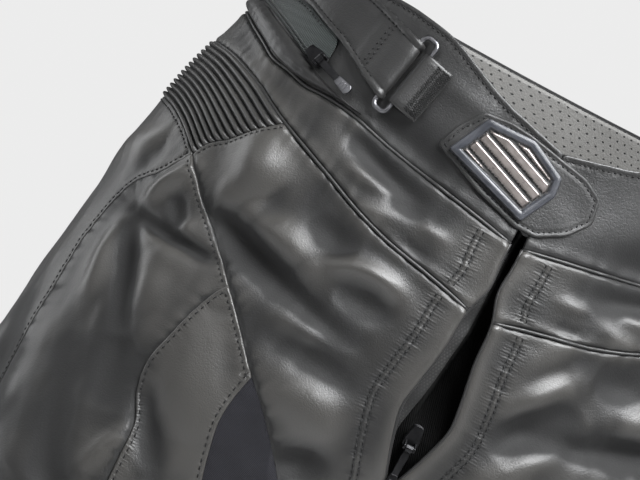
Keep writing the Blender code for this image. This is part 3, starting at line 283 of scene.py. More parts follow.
# Folds: start u, z, middle u, z, end u, z, width, rise, half (0 both, 1 right, -1 left)
FOLDS = np.array([
    # front hip
    (0.262, -0.108, 0.185, -0.117, 0.115, -0.127, 0.0078, -0.0078, 0),
    (0.140, -0.124, 0.098, -0.130, 0.058, -0.138, 0.0070, -0.0034, 0),
    (0.205, -0.100, 0.162, -0.101, 0.132, -0.109, 0.0080, 0.0030, 0),
    (0.262, -0.060, 0.236, -0.076, 0.206, -0.092, 0.0150, 0.0062, 0),
    (0.270, -0.095, 0.245, -0.099, 0.222, -0.100, 0.0080, 0.0020, 0),
    (0.206, -0.088, 0.190, -0.092, 0.172, -0.097, 0.0090, -0.0022, 1),
    (0.152, -0.085, 0.122, -0.092, 0.092, -0.092, 0.0090, -0.0036, 0),
    (0.120, -0.107, 0.086, -0.090, 0.042, -0.103, 0.0055, 0.0036, 1),
    (0.102, -0.115, 0.072, -0.110, 0.044, -0.114, 0.0075, -0.0036, 1),
    (0.142, -0.152, 0.090, -0.147, 0.032, -0.156, 0.0085, -0.0032, 1),
    (0.126, -0.136, 0.085, -0.136, 0.048, -0.141, 0.0055, 0.0018, 1),
    (0.102, -0.165, 0.072, -0.172, 0.042, -0.181, 0.0140, 0.0034, 0),
    (0.084, -0.205, 0.056, -0.202, 0.030, -0.187, 0.0075, -0.0055, 0),
    (0.070, -0.215, 0.045, -0.226, 0.014, -0.224, 0.0070, 0.0024, 0),
    (0.072, -0.235, 0.040, -0.245, 0.008, -0.242, 0.0080, -0.0030, 0),
    # front hip of the left half
    (0.066, -0.078, 0.048, -0.092, 0.034, -0.108, 0.0055, 0.0024, -1),
    (0.074, -0.090, 0.052, -0.104, 0.036, -0.124, 0.0050, -0.0016, -1),
    (0.080, -0.098, 0.054, -0.114, 0.036, -0.134, 0.0060, 0.0032, -1),
    (0.096, -0.108, 0.066, -0.128, 0.040, -0.150, 0.0085, -0.0056, -1),
    (0.104, -0.126, 0.074, -0.148, 0.044, -0.168, 0.0065, 0.0030, -1),
    # yoke and the sink at the waist seam
    (0.166, -0.0400, 0.115, -0.0490, 0.056, -0.0585, 0.0062, -0.0052, 0),
    (0.152, -0.0540, 0.122, -0.0565, 0.088, -0.0580, 0.0035, 0.0018, 0),
    (0.120, -0.0705, 0.100, -0.0695, 0.078, -0.0680, 0.0040, 0.0016, 0),
    (0.066, -0.0630, 0.050, -0.0655, 0.034, -0.0675, 0.0035, 0.0020, 0),
    (0.076, -0.0755, 0.058, -0.0775, 0.038, -0.0790, 0.0030, -0.0016, 0),
    (0.098, -0.0600, 0.076, -0.0620, 0.056, -0.0615, 0.0030, -0.0014, 1),
    (0.156, -0.0270, 0.105, -0.0320, 0.058, -0.0400, 0.0100, -0.0052, 0),
    (0.112, 0.0050, 0.080, 0.0040, 0.044, -0.0040, 0.0060, 0.0010, 1),
    # outer thigh
    (0.308, -0.092, 0.330, -0.106, 0.352, -0.122, 0.0060, 0.0046, 0),
    (0.360, -0.1265, 0.285, -0.1315, 0.208, -0.129, 0.0036, -0.0042, 0),
    (0.352, -0.134, 0.285, -0.140, 0.225, -0.138, 0.0070, 0.0018, 0),
    (0.320, -0.110, 0.296, -0.115, 0.280, -0.125, 0.0055, -0.0028, 0),
    (0.276, -0.116, 0.270, -0.121, 0.272, -0.127, 0.0048, 0.0018, 0),
    (0.356, -0.128, 0.320, -0.150, 0.272, -0.188, 0.0080, -0.0048, 0),
    (0.370, -0.138, 0.353, -0.156, 0.344, -0.182, 0.0070, 0.0028, 0),
    (0.300, -0.140, 0.272, -0.152, 0.250, -0.170, 0.0120, 0.0022, 0),
    (0.492, -0.106, 0.420, -0.094, 0.380, -0.090, 0.0100, 0.0030, 0),
    (0.404, -0.112, 0.392, -0.098, 0.374, -0.088, 0.0060, -0.0020, 0),
    (0.272, -0.184, 0.262, -0.202, 0.252, -0.224, 0.0120, -0.0032, 0),
    (0.252, -0.256, 0.230, -0.235, 0.210, -0.217, 0.0050, 0.0024, 0),
    (0.470, -0.190, 0.420, -0.230, 0.360, -0.300, 0.0140, -0.0046, 0),
    (0.330, -0.190, 0.290, -0.240, 0.270, -0.300, 0.0120, -0.0034, 0),
    # front of the thigh
    (0.198, -0.150, 0.178, -0.180, 0.158, -0.220, 0.0170, 0.0042, 0),
    (0.220, -0.194, 0.204, -0.214, 0.180, -0.238, 0.0080, -0.0034, 0),
    (0.060, -0.330, 0.140, -0.350, 0.230, -0.345, 0.014, -0.0044, 0),
    (0.150, -0.300, 0.200, -0.318, 0.270, -0.322, 0.012, 0.0030, 0),
    (0.090, -0.390, 0.180, -0.405, 0.300, -0.395, 0.014, -0.0036, 0),
    (0.200, -0.440, 0.260, -0.460, 0.330, -0.450, 0.012, -0.0030, 0),
    # knees and lower legs
    (0.360, -0.520, 0.260, -0.545, 0.140, -0.535, 0.016, -0.0048, 0),
    (0.330, -0.560, 0.240, -0.580, 0.120, -0.572, 0.014, 0.0034, 0),
    (0.400, -0.620, 0.280, -0.640, 0.150, -0.625, 0.016, -0.0050, 0),
    (0.100, -0.650, 0.200, -0.675, 0.330, -0.665, 0.016, -0.0044, 0),
    (0.140, -0.710, 0.240, -0.725, 0.340, -0.710, 0.016, 0.0030, 0),
    (0.150, -0.800, 0.300, -0.825, 0.450, -0.810, 0.020, -0.0044, 0),
    (0.120, -0.860, 0.240, -0.875, 0.360, -0.862, 0.014, -0.0034, 0),
    (0.200, -0.900, 0.420, -0.925, 0.640, -0.905, 0.020, -0.0044, 0),
    (0.050, -0.950, 0.200, -0.965, 0.380, -0.955, 0.014, -0.0030, 0),
    # back
    (0.560, -0.540, 0.700, -0.565, 0.880, -0.550, 0.018, -0.0060, 0),
    (0.600, -0.630, 0.740, -0.650, 0.900, -0.635, 0.018, -0.0060, 0),
    (0.590, -0.575, 0.720, -0.590, 0.890, -0.580, 0.012, 0.0038, 0),
    (0.580, -0.330, 0.720, -0.345, 0.900, -0.330, 0.018, -0.0052, 0),
    (0.620, -0.360, 0.740, -0.380, 0.880, -0.372, 0.016, 0.0034, 0),
    (0.640, -0.150, 0.760, -0.190, 0.900, -0.230, 0.018, -0.0044, 0),
    (0.700, -0.120, 0.800, -0.150, 0.930, -0.200, 0.014, 0.0030, 0),
    (0.620, -0.230, 0.720, -0.262, 0.860, -0.280, 0.014, -0.0040, 0),
    (0.620, -0.780, 0.760, -0.805, 0.920, -0.790, 0.020, -0.0044, 0),
    (0.600, -0.700, 0.720, -0.720, 0.860, -0.705, 0.016, -0.0034, 0),
    (0.620, -0.880, 0.760, -0.900, 0.920, -0.885, 0.016, -0.0034, 0)])
FOLD_GAIN = 1.2
FLAT_U, FLAT_Z = 0.028, -0.210       # beside the fly the folds fade out, down to FLAT_Z


def fold_rise(u, z, side):
    """How far the folds lift the leather, in metres."""
    p = np.stack([np.asarray(u, float) * HALF_ROUND, np.asarray(z, float)], -1)
    rise = np.zeros(p.shape[:-1])
    t = np.linspace(0, 1, 13)
    for u0, z0, u1, z1, u2, z2, width, height, half in FOLDS:
        if half and half != side:
            continue
        bend = np.array([(1 - t)**2 * u0 + 2 * t * (1 - t) * u1 + t**2 * u2,
                         (1 - t)**2 * z0 + 2 * t * (1 - t) * z1 + t**2 * z2]).T
        bend[:, 0] *= HALF_ROUND
        low, high = bend.min(axis=0) - 3 * width, bend.max(axis=0) + 3 * width
        near = np.all((p > low) & (p < high), axis=-1)
        if not near.any():
            continue
        q = p[near]
        best = np.full(len(q), 1e9)
        along = np.zeros(len(q))
        for k in range(len(bend) - 1):
            a, d = bend[k], bend[k + 1] - bend[k]
            s = np.clip(((q - a) @ d) / (d @ d), 0, 1)
            gap = np.linalg.norm(q - a - s[:, None] * d, axis=-1)
            along = np.where(gap < best, t[k] + s * (t[k + 1] - t[k]), along)
            best = np.minimum(best, gap)
        end = np.sin(np.pi * np.clip(along, 0.04, 0.96)) ** 0.7
        rise[near] += FOLD_GAIN * height * bell(best, 0, width) * end
    by_fly = np.clip((np.asarray(u) - FLAT_U) / FLAT_U, 0, 1)
    return rise * np.where(np.asarray(z) > FLAT_Z, by_fly, 1)


def waves(p, length, seed, count=14):
    """Smooth unevenness from -1 to 1, with bumps about a length across."""
    rng = np.random.default_rng(seed)
    total = np.zeros(p.shape[:-1])
    for _ in range(count):
        way = rng.normal(size=3)
        way /= np.linalg.norm(way)
        total += np.sin(p @ way * TURN / (length * rng.uniform(0.7, 1.6)) + rng.uniform(0, TURN))
    return total / (count * 0.5)**0.5 / 1.6


def curve_rows(rows, step):
    """A smooth line through the rows, and where each row lies in it."""
    rows = np.array(rows, float)
    length = lengths_along(rows * (HALF_ROUND, 1))
    slope = np.gradient(rows, length, axis=0) if len(rows) > 2 else None
    points, index = [rows[0]], [0]
    for k in range(len(rows) - 1):
        span = length[k + 1] - length[k]
        pace = step if rows[k, 1] > LEG_Z else step * 2.6
        count = max(1, int(round(span / pace)))
        for s in np.arange(1, count + 1) / count:
            if slope is None:
                points.append(rows[k] * (1 - s) + rows[k + 1] * s)
            else:
                points.append(rows[k] * (2*s**3 - 3*s**2 + 1) + rows[k + 1] * (3*s**2 - 2*s**3)
                              + slope[k] * span * (s**3 - 2*s**2 + s)
                              + slope[k + 1] * span * (s**3 - s**2))
        index.append(len(points) - 1)
    return np.array(points), index


LINES = {name: curve_rows(rows, 3.6 * MM) for name, rows in SEAMS.items()}


def seam_run(name, first, last):
    """(u, z) of a seam between two of its rows."""
    points, index = LINES[name]
    i, j = index[first], index[last]
    return points[i:j + 1] if i <= j else points[j:i + 1][::-1]


def loop_of(parts):
    """Outline on the flat of the panel between its seams."""
    loop = np.concatenate([seam_run(*part)[:-1] for part in parts]) * (HALF_ROUND, 1)
    return loop[np.linalg.norm(loop - np.roll(loop, 1, axis=0), axis=1) > 1e-6]


def from_line(points, line):
    """Distance of points from a line, and how far along it each nearest place is."""
    a, d = line[:-1], np.diff(line, axis=0)
    size = np.linalg.norm(d, axis=1)
    start = np.r_[0, np.cumsum(size)[:-1]]
    best, along = np.full(len(points), 1e9), np.zeros(len(points))
    for chunk in range(0, len(points), 4000):
        q = points[chunk:chunk + 4000, None]
        s = np.clip(np.sum((q - a) * d, -1) / size**2, 0, 1)
        gap = np.linalg.norm(q - a - s[..., None] * d, axis=-1)
        k = gap.argmin(axis=1)
        rows = np.arange(len(k))
        best[chunk:chunk + 4000] = gap[rows, k]
        along[chunk:chunk + 4000] = start[k] + s[rows, k] * size[k]
    return best, along


# How each panel meets its seams: lapped over, tucked under, piped, turned to a free edge
MEETS = {
    "waistband_front": {"top": "turned", "waist_low": "piped", "band_front": "turned"},
    "waistband_back": {"top": "turned", "waist_low": "piped"},
    "yoke_front": {"waist_low": "piped", "yoke_low": "piped", "fly": "turned"},
    "yoke_back": {"waist_low": "piped", "yoke_low": "piped"},
    "front_hip": {"yoke_low": "piped", "rib_front": "over", "diagonal": "under",
                  "fly": "turned"},
    "side_leg": {"rib_low": "over", "side_arc": "over", "outer_seam": "over",
                 "back_side": "over", "back_low": "over", "knee": "over"},
    "side_shin": {"knee": "under", "back_low": "over", "outer_seam": "over", "hem": "turned"},
    "outer_thigh": {"side_arc": "under", "thigh_edge": "under", "diagonal": "over"},
    "front_leg": {"diagonal": "over", "insert_edge": "over", "thigh_edge": "over",
                  "outer_seam": "under", "knee": "over"},
    "shin": {"knee": "under", "outer_seam": "under", "hem": "turned"},
    "stretch_insert": {"diagonal": "under", "insert_edge": "under"},
    "seat": {"yoke_low": "piped", "seat_low": "over", "back_side": "under", "rib_back": "over"},
    "back_leg": {"seat_low": "under", "back_low": "under", "knee": "over"},
    "calf": {"knee": "under", "back_low": "under", "hem": "turned"},
}
# How far the lapped panel stands above the other, in mm
STEPS = {"diagonal": 0.95, "side_arc": 0.25, "thigh_edge": 0.75, "rib_front": 0.7, "rib_low": 0.5,
         "insert_edge": 0.5}
# Distance of the stitches from a lapped seam, the waist edge and the hem, in mm
SEAM_ROW, TOP_ROW, HEM_ROW = 2.3, 3.0, 12.0
# Pucker height beside each seam, in mm
PUCKERS = {"diagonal": 0.30, "fly": 0.0, "waist_low": 0.30, "yoke_low": 0.38, "rib_front": 0.30,
           "rib_low": 0.30, "side_arc": 0.28, "thigh_edge": 0.30, "insert_edge": 0.16,
           "top": 0.20, "knee": 0.5, "hem": 0.5, "outer_seam": 0.5, "back_side": 0.45,
           "back_low": 0.5, "seat_low": 0.45, "rib_back": 0.3, "centre_front": 0.4, "centre_back": 0.4,
           "inseam_front": 0.5, "inseam_back": 0.5}
FLY_ROWS = (8.8 * MM, 10.9 * MM)       # the two rows of stitches beside the fly, on the flat
SEAM_REACH = 0.05                      # a seam has no effect further off, in metres
LAP = 0.6                              # step of a lapped seam that STEPS leaves out, in mm


def edge_form(flat, panel):
    """Height of a panel beside its seams, in metres."""
    rise = np.zeros(len(flat))
    for seam, first, last in PANELS[panel]:
        kind = MEETS[panel].get(seam, "plain")
        line = seam_run(seam, first, last) * (HALF_ROUND, 1)
        low, high = line.min(axis=0) - SEAM_REACH, line.max(axis=0) + SEAM_REACH
        near = np.all((flat > low) & (flat < high), axis=1)
        if not near.any():
            continue
        d, s = from_line(flat[near], line)
        d = d / MM
        h = np.zeros(len(d))
        rim = np.clip(1 - d / 0.9, 0, 1)
        if kind == "over":
            step = STEPS.get(seam, LAP)
            h += step * (1.1 * bell(d, 0, 6.0) - 0.9 * (1 - np.sqrt(np.maximum(1 - rim**2, 0))))
            h -= 0.22 * bell(d, SEAM_ROW, 0.70)
        elif kind == "under":
            h -= 0.6 * STEPS.get(seam, LAP) * bell(d, 0, 2.4)
        elif kind == "piped":
            h += 0.45 * bell(d, 3.2, 2.4) - 1.0 * bell(d, 0, 1.3)
        elif kind == "turned":
            h += 0.55 * bell(d, 0, 5.0) - 0.9 * (1 - np.sqrt(np.maximum(1 - rim**2, 0)))
            if seam != "fly":
                h -= 0.35 * bell(d, TOP_ROW, 0.8)
        else:
            h -= 0.7 * bell(d, 0, 1.2)
        size = PUCKERS.get(seam, 0.2)
        phase = np.sin(s / MM / 17.0 + len(seam)) * 1.3
        tilt = s / MM + 0.35 * d
        ripple = (0.6 * np.sin(tilt * TURN / 9.1 + phase) + 0.4 * np.sin(tilt * TURN / 5.7 - phase)
                  + 0.35 * np.sin(tilt * TURN / 13.7 + 2 * phase))
        h += size * ripple * np.exp(-d / 5.5) * np.clip(d / 1.5, 0, 1)
        if seam == "fly":
            for row in FLY_ROWS:
                h -= 0.34 * bell(d, row / MM, 0.55)
            h += 0.18 * ripple * bell(d, 9.8, 3.2)
            h += 0.20 * bell(d, 9.85, 0.9)
            h += 0.75 * bell(d, 1.6, 1.8)
        rise[near] += h * MM
    return rise


def leather_rise(u, z, side, panel):
    """Folds, unevenness and seam form of a panel, in metres."""
    flat = np.stack([u * HALF_ROUND, z], -1)
    p = np.stack([u * 0.9, z, np.full(len(u), 0.31 * side)], -1)
    soft = 0.5 if panel.startswith(("waistband", "yoke")) else 1.0
    uneven = 0.60 * waves(p, 0.055, 3) + 0.18 * waves(p, 0.024, 5) + 0.04 * waves(p, 0.011, 8)
    return fold_rise(u, z, side) + edge_form(flat, panel) + soft * uneven * MM


def leather_tone(u, z, side, panel):
    """Painted shade and highlight: 0 in the hollows and seam grooves, 0.5 on the flat and 1 on the
    crests, with random mottling.
    """
    p = np.stack([u * 0.9, z, np.full(len(u), 0.31 * side)], -1)
    edge = edge_form(np.stack([u * HALF_ROUND, z], -1), panel)
    edge = np.where(edge < 0, 1.3, 0.35) * edge
    return np.clip(0.5 + (0.18 * fold_rise(u, z, side) + edge) / MM
                   + 0.12 * waves(p, 0.055, 3) + 0.10 * waves(p, 0.026, 21), 0, 1)


def tiled(loop, step, rings=(0.35, 0.9, 1.6, 2.3, 3.1), rows_of=()):
    """Triangles over an outline, with closer rows beside its edge and along other lines."""
    points = [loop]
    for r in rings:
        points.append(drawn_in(loop, r * MM))
    low, high = loop.min(axis=0), loop.max(axis=0)
    z, odd = high[1], 0
    while z > low[1]:
        pace = step if z > LEG_Z else step * LEG_STEP / HIP_STEP
        row = np.arange(low[0] + (0.5 * pace if odd else 0), high[0], pace)
        points.append(np.stack([row, np.full(row.shape, z)], -1))
        z -= pace * 0.866
        odd = 1 - odd
    rows = np.concatenate(points[1 + len(rings):])
    pace = np.where(rows[:, 1] > LEG_Z, step, step * LEG_STEP / HIP_STEP)
    within, gap = inside_far(rows, loop)
    rows = rows[within & (gap > rings[-1] * MM + 0.35 * pace)]
    near = [loop]
    for line in rows_of:
        within, gap = inside_far(line, loop)
        near.append(line[within & (gap > (rings[-1] + 0.6) * MM)])
        far, _s = from_line(rows, line)
        rows = rows[far > 0.9 * MM]
    for r, ring in zip(rings, points[1:1 + len(rings)]):
        within, gap = inside_far(ring, loop)
        near.append(ring[within & (gap > 0.8 * r * MM)])
    points = np.concatenate(near + [rows])
    made = delaunay_2d_cdt([Vector(p) for p in points], [], [list(range(len(loop)))], 1, 1e-7)
    return np.array([tuple(v) for v in made[0]]), np.array([tuple(f) for f in made[2]])


def inside_far(points, loop):
    """As inside, for many points, a few thousand at a time."""
    within, gap = [], []
    for k in range(0, len(points), 3000):
        w, g = inside(points[k:k + 3000], loop)
        within.append(w)
        gap.append(g)
    return np.concatenate(within), np.concatenate(gap)


def halved(verts, faces):
    """Each triangle split into four, and the middle of each edge by its ends."""
    edges = np.sort(np.concatenate([faces[:, [0, 1]], faces[:, [1, 2]], faces[:, [2, 0]]]), axis=1)
    pairs, back = np.unique(edges, axis=0, return_inverse=True)
    back = back.ravel()
    mid = len(verts) + back.reshape(3, -1)
    middle = (verts[pairs[:, 0]] + verts[pairs[:, 1]]) / 2
    a, b, c = faces.T
    ab, bc, ca = mid
    split = np.concatenate([np.stack(t, -1) for t in
                            ((a, ab, ca), (ab, b, bc), (ca, bc, c), (ab, bc, ca))])
    return np.concatenate([verts, middle]), split, {tuple(p): len(verts) + k
                                                    for k, p in enumerate(pairs.tolist())}


def rim_edges(faces):
    """Edges with one triangle, in that triangle's order."""
    e = np.concatenate([faces[:, [0, 1]], faces[:, [1, 2]], faces[:, [2, 0]]])
    key = e[:, 0].astype(np.int64) * (faces.max() + 1) + e[:, 1]
    other = e[:, 1].astype(np.int64) * (faces.max() + 1) + e[:, 0]
    return e[~np.isin(key, other)]


def new_mesh(name, verts, faces, finish, uv=None):
    mesh = bpy.data.meshes.new(name)
    mesh.from_pydata(np.asarray(verts, float).tolist(), [],
                     [tuple(int(i) for i in f) for f in faces])
    mesh.validate()
    mesh.update()
    if uv is not None:
        layer = mesh.uv_layers.new(name="uv")
        loops = np.empty(len(mesh.loops), np.int32)
        mesh.loops.foreach_get("vertex_index", loops)
        layer.data.foreach_set("uv", np.asarray(uv, np.float32)[loops].ravel())
    mesh.polygons.foreach_set("use_smooth", np.ones(len(mesh.polygons), bool))
    ob = bpy.data.objects.new(name, mesh)
    bpy.context.scene.collection.objects.link(ob)
    mesh.materials.append(finish)
    return ob


def mark(piece, **named):
    """Numbers for the finish, kept at the first points of a mesh."""
    for word, values in named.items():
        layer = piece.data.attributes.new(word, "FLOAT", "POINT")
        full = np.zeros(len(piece.data.vertices), np.float32)
        full[:len(values)] = values
        layer.data.foreach_set("value", full)


def shell(name, flat, faces, place, high, low, finish, flip, sewn=None):
    """A closed sheet: a fine outer face over a plainer inner one."""
    fine, fine_faces, middle = halved(flat, faces)
    outer = place(fine, high(fine) if callable(high) else np.full(len(fine), high))
    inner = place(flat, low(flat) if callable(low) else np.full(len(flat), low))
    shift = len(outer)
    made = [fine_faces, faces[:, ::-1] + shift]
    rim = rim_edges(faces)
    walls = []
    for a, b in rim:
        m = middle[(min(a, b), max(a, b))]
        walls += [(m, a, a + shift), (b, m, b + shift), (m, a + shift, b + shift)]
    made.append(np.array(walls))
    made = np.concatenate(made)
    if flip:
        made = made[:, ::-1]
    piece = new_mesh(name, np.concatenate([outer, inner]), made, finish,
                     np.concatenate([fine, flat]))
    # The stored shade is painted shade and highlight for the finish.
    if sewn:
        along, pucker, tone = sewn(fine)
        mark(piece, along=along, pucker=pucker, tone=tone)
    return piece


def lifted(u, z, out, side=1):
    """Point at the distance out from the smooth face, folds left out."""
    p = surface(u, z) + outward(u, z) * np.asarray(out)[..., None]
    p[..., 0] *= side
    return p


def on_cloth(u, z, out, side=1):
    """Point at the distance out from the folded face."""
    return lifted(u, z, fold_rise(u, z, side) + out, side)


def placer(how, side):
    """Puts points of the flat on one half, by lifted or on_cloth."""
    def place(points, out):
        return how(points[:, 0] / HALF_ROUND, points[:, 1], out, side)
    return place


def grid_faces(rows, columns):
    """Triangles over a grid of points that is stored row by row."""
    i, j = np.meshgrid(np.arange(rows - 1), np.arange(columns - 1), indexing="ij")
    a = (i * columns + j).ravel()
    return np.concatenate([np.stack([a, a + 1, a + columns + 1], -1),
                           np.stack([a, a + columns + 1, a + columns], -1)])


def two_faced(top, count):
    """Closes a sheet: its outer face, the inner one count points on, and the rim between."""
    rim = rim_edges(top)
    walls = np.concatenate([np.stack([rim[:, 1], rim[:, 0], rim[:, 0] + count], -1),
                            np.stack([rim[:, 1], rim[:, 0] + count, rim[:, 1] + count], -1)])
    return np.concatenate([top, top[:, ::-1] + count, walls])


# Finishes

class Amount:
    """A value that varies over a surface; arithmetic on it adds shader nodes."""

    def __init__(self, finish, socket):
        self.finish, self.socket = finish, socket

    def _with(self, operation, first, second):
        node = self.finish.node("ShaderNodeMath", {"operation": operation},
                                {0: first, 1: second})
        return Amount(self.finish, node.outputs[0])

    def __add__(self, other):
        return self._with("ADD", self, other)

    def __radd__(self, other):
        return self._with("ADD", other, self)

    def __sub__(self, other):
        return self._with("SUBTRACT", self, other)

    def __rsub__(self, other):
        return self._with("SUBTRACT", other, self)

    def __mul__(self, other):
        return self._with("MULTIPLY", self, other)

    def __pow__(self, other):
        return self._with("POWER", self, other)

    def __gt__(self, other):
        return self._with("GREATER_THAN", self, other)

    def _of(self, operation):
        node = self.finish.node("ShaderNodeMath", {"operation": operation}, {0: self})
        return Amount(self.finish, node.outputs[0])

    def fraction(self):
        return self._of("FRACT")

    def wave(self):
        return self._of("SINE")

    def between(self, low, high):
        """0 at low, 1 at high, eased."""
        node = self.finish.node("ShaderNodeMapRange", {"interpolation_type": "SMOOTHSTEP"},
                                {"Value": self, "From Min": low, "From Max": high})
        return Amount(self.finish, node.outputs["Result"])


class Finish:
    """A surface finish, built on one Principled shader."""

    def __init__(self, name, **constants):
        self.material = bpy.data.materials.new(name)
        self.material.use_nodes = True
        self.tree = self.material.node_tree
        self.shader = self.tree.nodes["Principled BSDF"]
        for socket, value in constants.items():
            self.shader.inputs[socket.replace("_", " ")].default_value = value

    def node(self, kind, settings=None, sockets=None):
        made = self.tree.nodes.new(kind)
        for key, value in (settings or {}).items():
            setattr(made, key, value)
        for key, value in (sockets or {}).items():
            self.feed(made.inputs[key], value)
        return made

    def feed(self, socket, value):
        if isinstance(value, Amount):
            self.tree.links.new(value.socket, socket)
        elif isinstance(value, bpy.types.NodeSocket):
            self.tree.links.new(value, socket)
        else:
            socket.default_value = value

    def place(self, which="Object"):
        return self.node("ShaderNodeTexCoord").outputs[which]

    def stretched(self, place, scale):
        return self.node("ShaderNodeVectorMath", {"operation": "MULTIPLY"},
                         {0: place, 1: scale}).outputs[0]

    def stored(self, name):
        """A number kept at each point of the mesh, 0 where a mesh has none."""
        made = self.node("ShaderNodeAttribute", {"attribute_name": name})
        return Amount(self, made.outputs["Fac"])

    def noise(self, place, per_metre, detail=3.0, rough=0.55, warp=0.0):
        made = self.node("ShaderNodeTexNoise", {}, {"Vector": place, "Scale": per_metre,
                                                    "Detail": detail, "Roughness": rough,
                                                    "Distortion": warp})
        return Amount(self, made.outputs["Fac"])

    def cells(self, place, per_metre, feature="F1"):
        made = self.node("ShaderNodeTexVoronoi", {"feature": feature},
                         {"Vector": place, "Scale": per_metre})
        return Amount(self, made.outputs["Distance"])

    def parts(self, place):
        made = self.node("ShaderNodeSeparateXYZ", {}, {0: place})
        return [Amount(self, s) for s in made.outputs]

    def colours(self, share, first, second):
        made = self.node("ShaderNodeMix", {"data_type": "RGBA"}, {0: share})
        made.inputs[6].default_value = (*first, 1)
        made.inputs[7].default_value = (*second, 1)
        return made.outputs[2]

    def bump(self, height, depth, strength=1.0):
        made = self.node("ShaderNodeBump", {}, {"Height": height, "Distance": depth,
                                                "Strength": strength})
        self.feed(self.shader.inputs["Normal"], made.outputs["Normal"])

    def surface(self, colour=None, roughness=None, metallic=None):
        for socket, value in (("Base Color", colour), ("Roughness", roughness),
                              ("Metallic", metallic)):
            if value is not None:
                self.feed(self.shader.inputs[socket], value)
        return self


def leather_finish(name, dark, light, rough, toned=0.0, grain=1.2, sheen=0.04):
    """Smooth dyed leather: a very fine pebble, soft mottling and hair creases, with painted shade and
    highlight from a stored attribute.
    """
    f = Finish(name, Specular_IOR_Level=0.62, Sheen_Weight=sheen, Sheen_Roughness=0.5)
    at = f.place()
    pebble = f.cells(at, 1250)
    crack = f.cells(at, 520, "DISTANCE_TO_EDGE")
    fine = f.noise(at, 2400, 2.0)
    broad = f.noise(at, 24, 4.0, 0.6, 0.4)
    patch = f.noise(at, 6, 2.0)
    crease = f.noise(f.stretched(at, (1.0, 1.0, 2.2)), 75, 5.0, 0.62, 1.2)
    worn = broad.between(0.35, 0.75)
    # Painted shade and highlight: the stored attribute darkens the colour in hollows and seam grooves
    # and lightens it on crests.
    tone = f.stored("tone") * toned + (1 - toned) * 0.5
    f.surface(f.colours((tone * 0.92 + worn * 0.16 + patch * 0.12 - 0.14).between(0.0, 1.0),
                        dark, light),
              rough + broad * 0.14 + pebble * 0.05 + fine * 0.04 - 0.04 - tone * 0.12
              + (0.42 - tone).between(0.0, 0.42) * 0.24)
    height = pebble * (-0.30) + crack.between(0.0, 0.20) * 0.18 + fine * 0.15
    along, pucker = f.stored("along"), f.stored("pucker")
    gather = ((along * (TURN / 1.6) + f.noise(at, 90, 2.0) * 9.0).wave() * 0.5
              + (along * (TURN / 3.2)).wave() * 0.5)
    f.bump(height * grain + crease * 0.7 + gather * pucker * 0.60, 0.00016, 0.8)
    return f.material


def fabric_finish():
    """Dull woven stretch cloth."""
    f = Finish("stretch fabric", Specular_IOR_Level=0.2, Sheen_Weight=0.08,
               Sheen_Roughness=0.6)
    x, z, _ = f.parts(f.stretched(f.place("UV"), (1000.0, 1000.0, 1.0)))
    weave = (x * 7.4).wave() * (z * 7.4 + x * 3.1).wave()
    cloud = f.noise(f.place(), 60, 4.0)
    f.surface(f.colours(weave.between(-1.0, 1.0) * 0.5 + cloud * 0.5,
                        (0.006, 0.006, 0.008), (0.014, 0.014, 0.019)), cloud * 0.1 + 0.82)
    f.bump(weave * 0.5 + f.noise(f.place(), 900, 2.0) * 0.6, 0.00025)
    return f.material


def tape_finish(name, dark, light, shine):
    """Woven zip tape with a fine twill."""
    f = Finish(name, Specular_IOR_Level=shine, Sheen_Weight=0.3 * shine)
    x, z, _ = f.parts(f.stretched(f.place("UV"), (1000.0, 1000.0, 1.0)))
    twill = ((x * 5.0) + (z * 4.0)).wave()
    f.surface(f.colours(twill.between(-1.0, 1.0), dark, light),
              twill * 0.05 + 0.72)
    f.bump(twill, 0.00012)
    return f.material


HOLE_PITCH = 4.3 * MM


def lining_finish():
    """Leather with a grid of small holes, set out on the flat."""
    f = Finish("perforated lining", Specular_IOR_Level=0.4, Sheen_Weight=0.1)
    x, z, _ = f.parts(f.stretched(f.place("UV"), (1 / HOLE_PITCH, 1 / HOLE_PITCH, 1.0)))
    row = (z * 0.5).fraction() > 0.5
    gx = (x + row * 0.5).fraction() - 0.5
    gz = z.fraction() - 0.5
    gap = (gx * gx + gz * gz) ** 0.5
    solid = gap.between(0.10, 0.16)
    at = f.place()
    cloud = f.noise(at, 40, 4.0)
    near = f.colours(cloud, (0.120, 0.118, 0.112), (0.170, 0.166, 0.158))
    mix = f.node("ShaderNodeMix", {"data_type": "RGBA"}, {0: solid, 7: near})
    mix.inputs[6].default_value = (0.020, 0.020, 0.020, 1)
    f.surface(mix.outputs[2], cloud * 0.15 + 0.5)
    f.bump(solid * 1.2 + f.cells(at, 900) * (-0.4), 0.0003)
    return f.material


def rubber_finish(name, dark, light, rough):
    """Moulded rubber with a thin gloss."""
    f = Finish(name, Specular_IOR_Level=0.6, Coat_Weight=0.25, Coat_Roughness=0.2)
    at = f.place()
    cloud = f.noise(at, 90, 4.0)
    f.surface(f.colours(cloud.between(0.3, 0.7), dark, light), cloud * 0.12 + rough)
    f.bump(f.noise(at, 1800, 2.0), 0.00008)
    return f.material


def metal_finish(name, dark, light, rough, metallic=1.0):
    """Cast metal, or a moulded coil where metallic is 0, with fine scratches."""
    f = Finish(name, Specular_IOR_Level=0.5, Metallic=metallic)
    at = f.place()
    cloud = f.noise(at, 300, 4.0)
    scratch = f.noise(f.stretched(at, (1.0, 1.0, 9.0)), 700, 2.0)
    f.surface(f.colours(cloud, dark, light), cloud * 0.12 + scratch * 0.08 + rough)
    f.bump(scratch * 0.5 + cloud * 0.5, 0.00003)
    return f.material


def thread_finish():
    """Twisted black thread."""
    f = Finish("thread", Specular_IOR_Level=0.3, Sheen_Weight=0.05)
    at = f.place()
    ply = f.noise(at, 2600, 1.0)
    f.surface(f.colours(ply, (0.003, 0.003, 0.003), (0.010, 0.010, 0.010)), ply * 0.1 + 0.6)
    f.bump(ply, 0.0001)
    return f.material
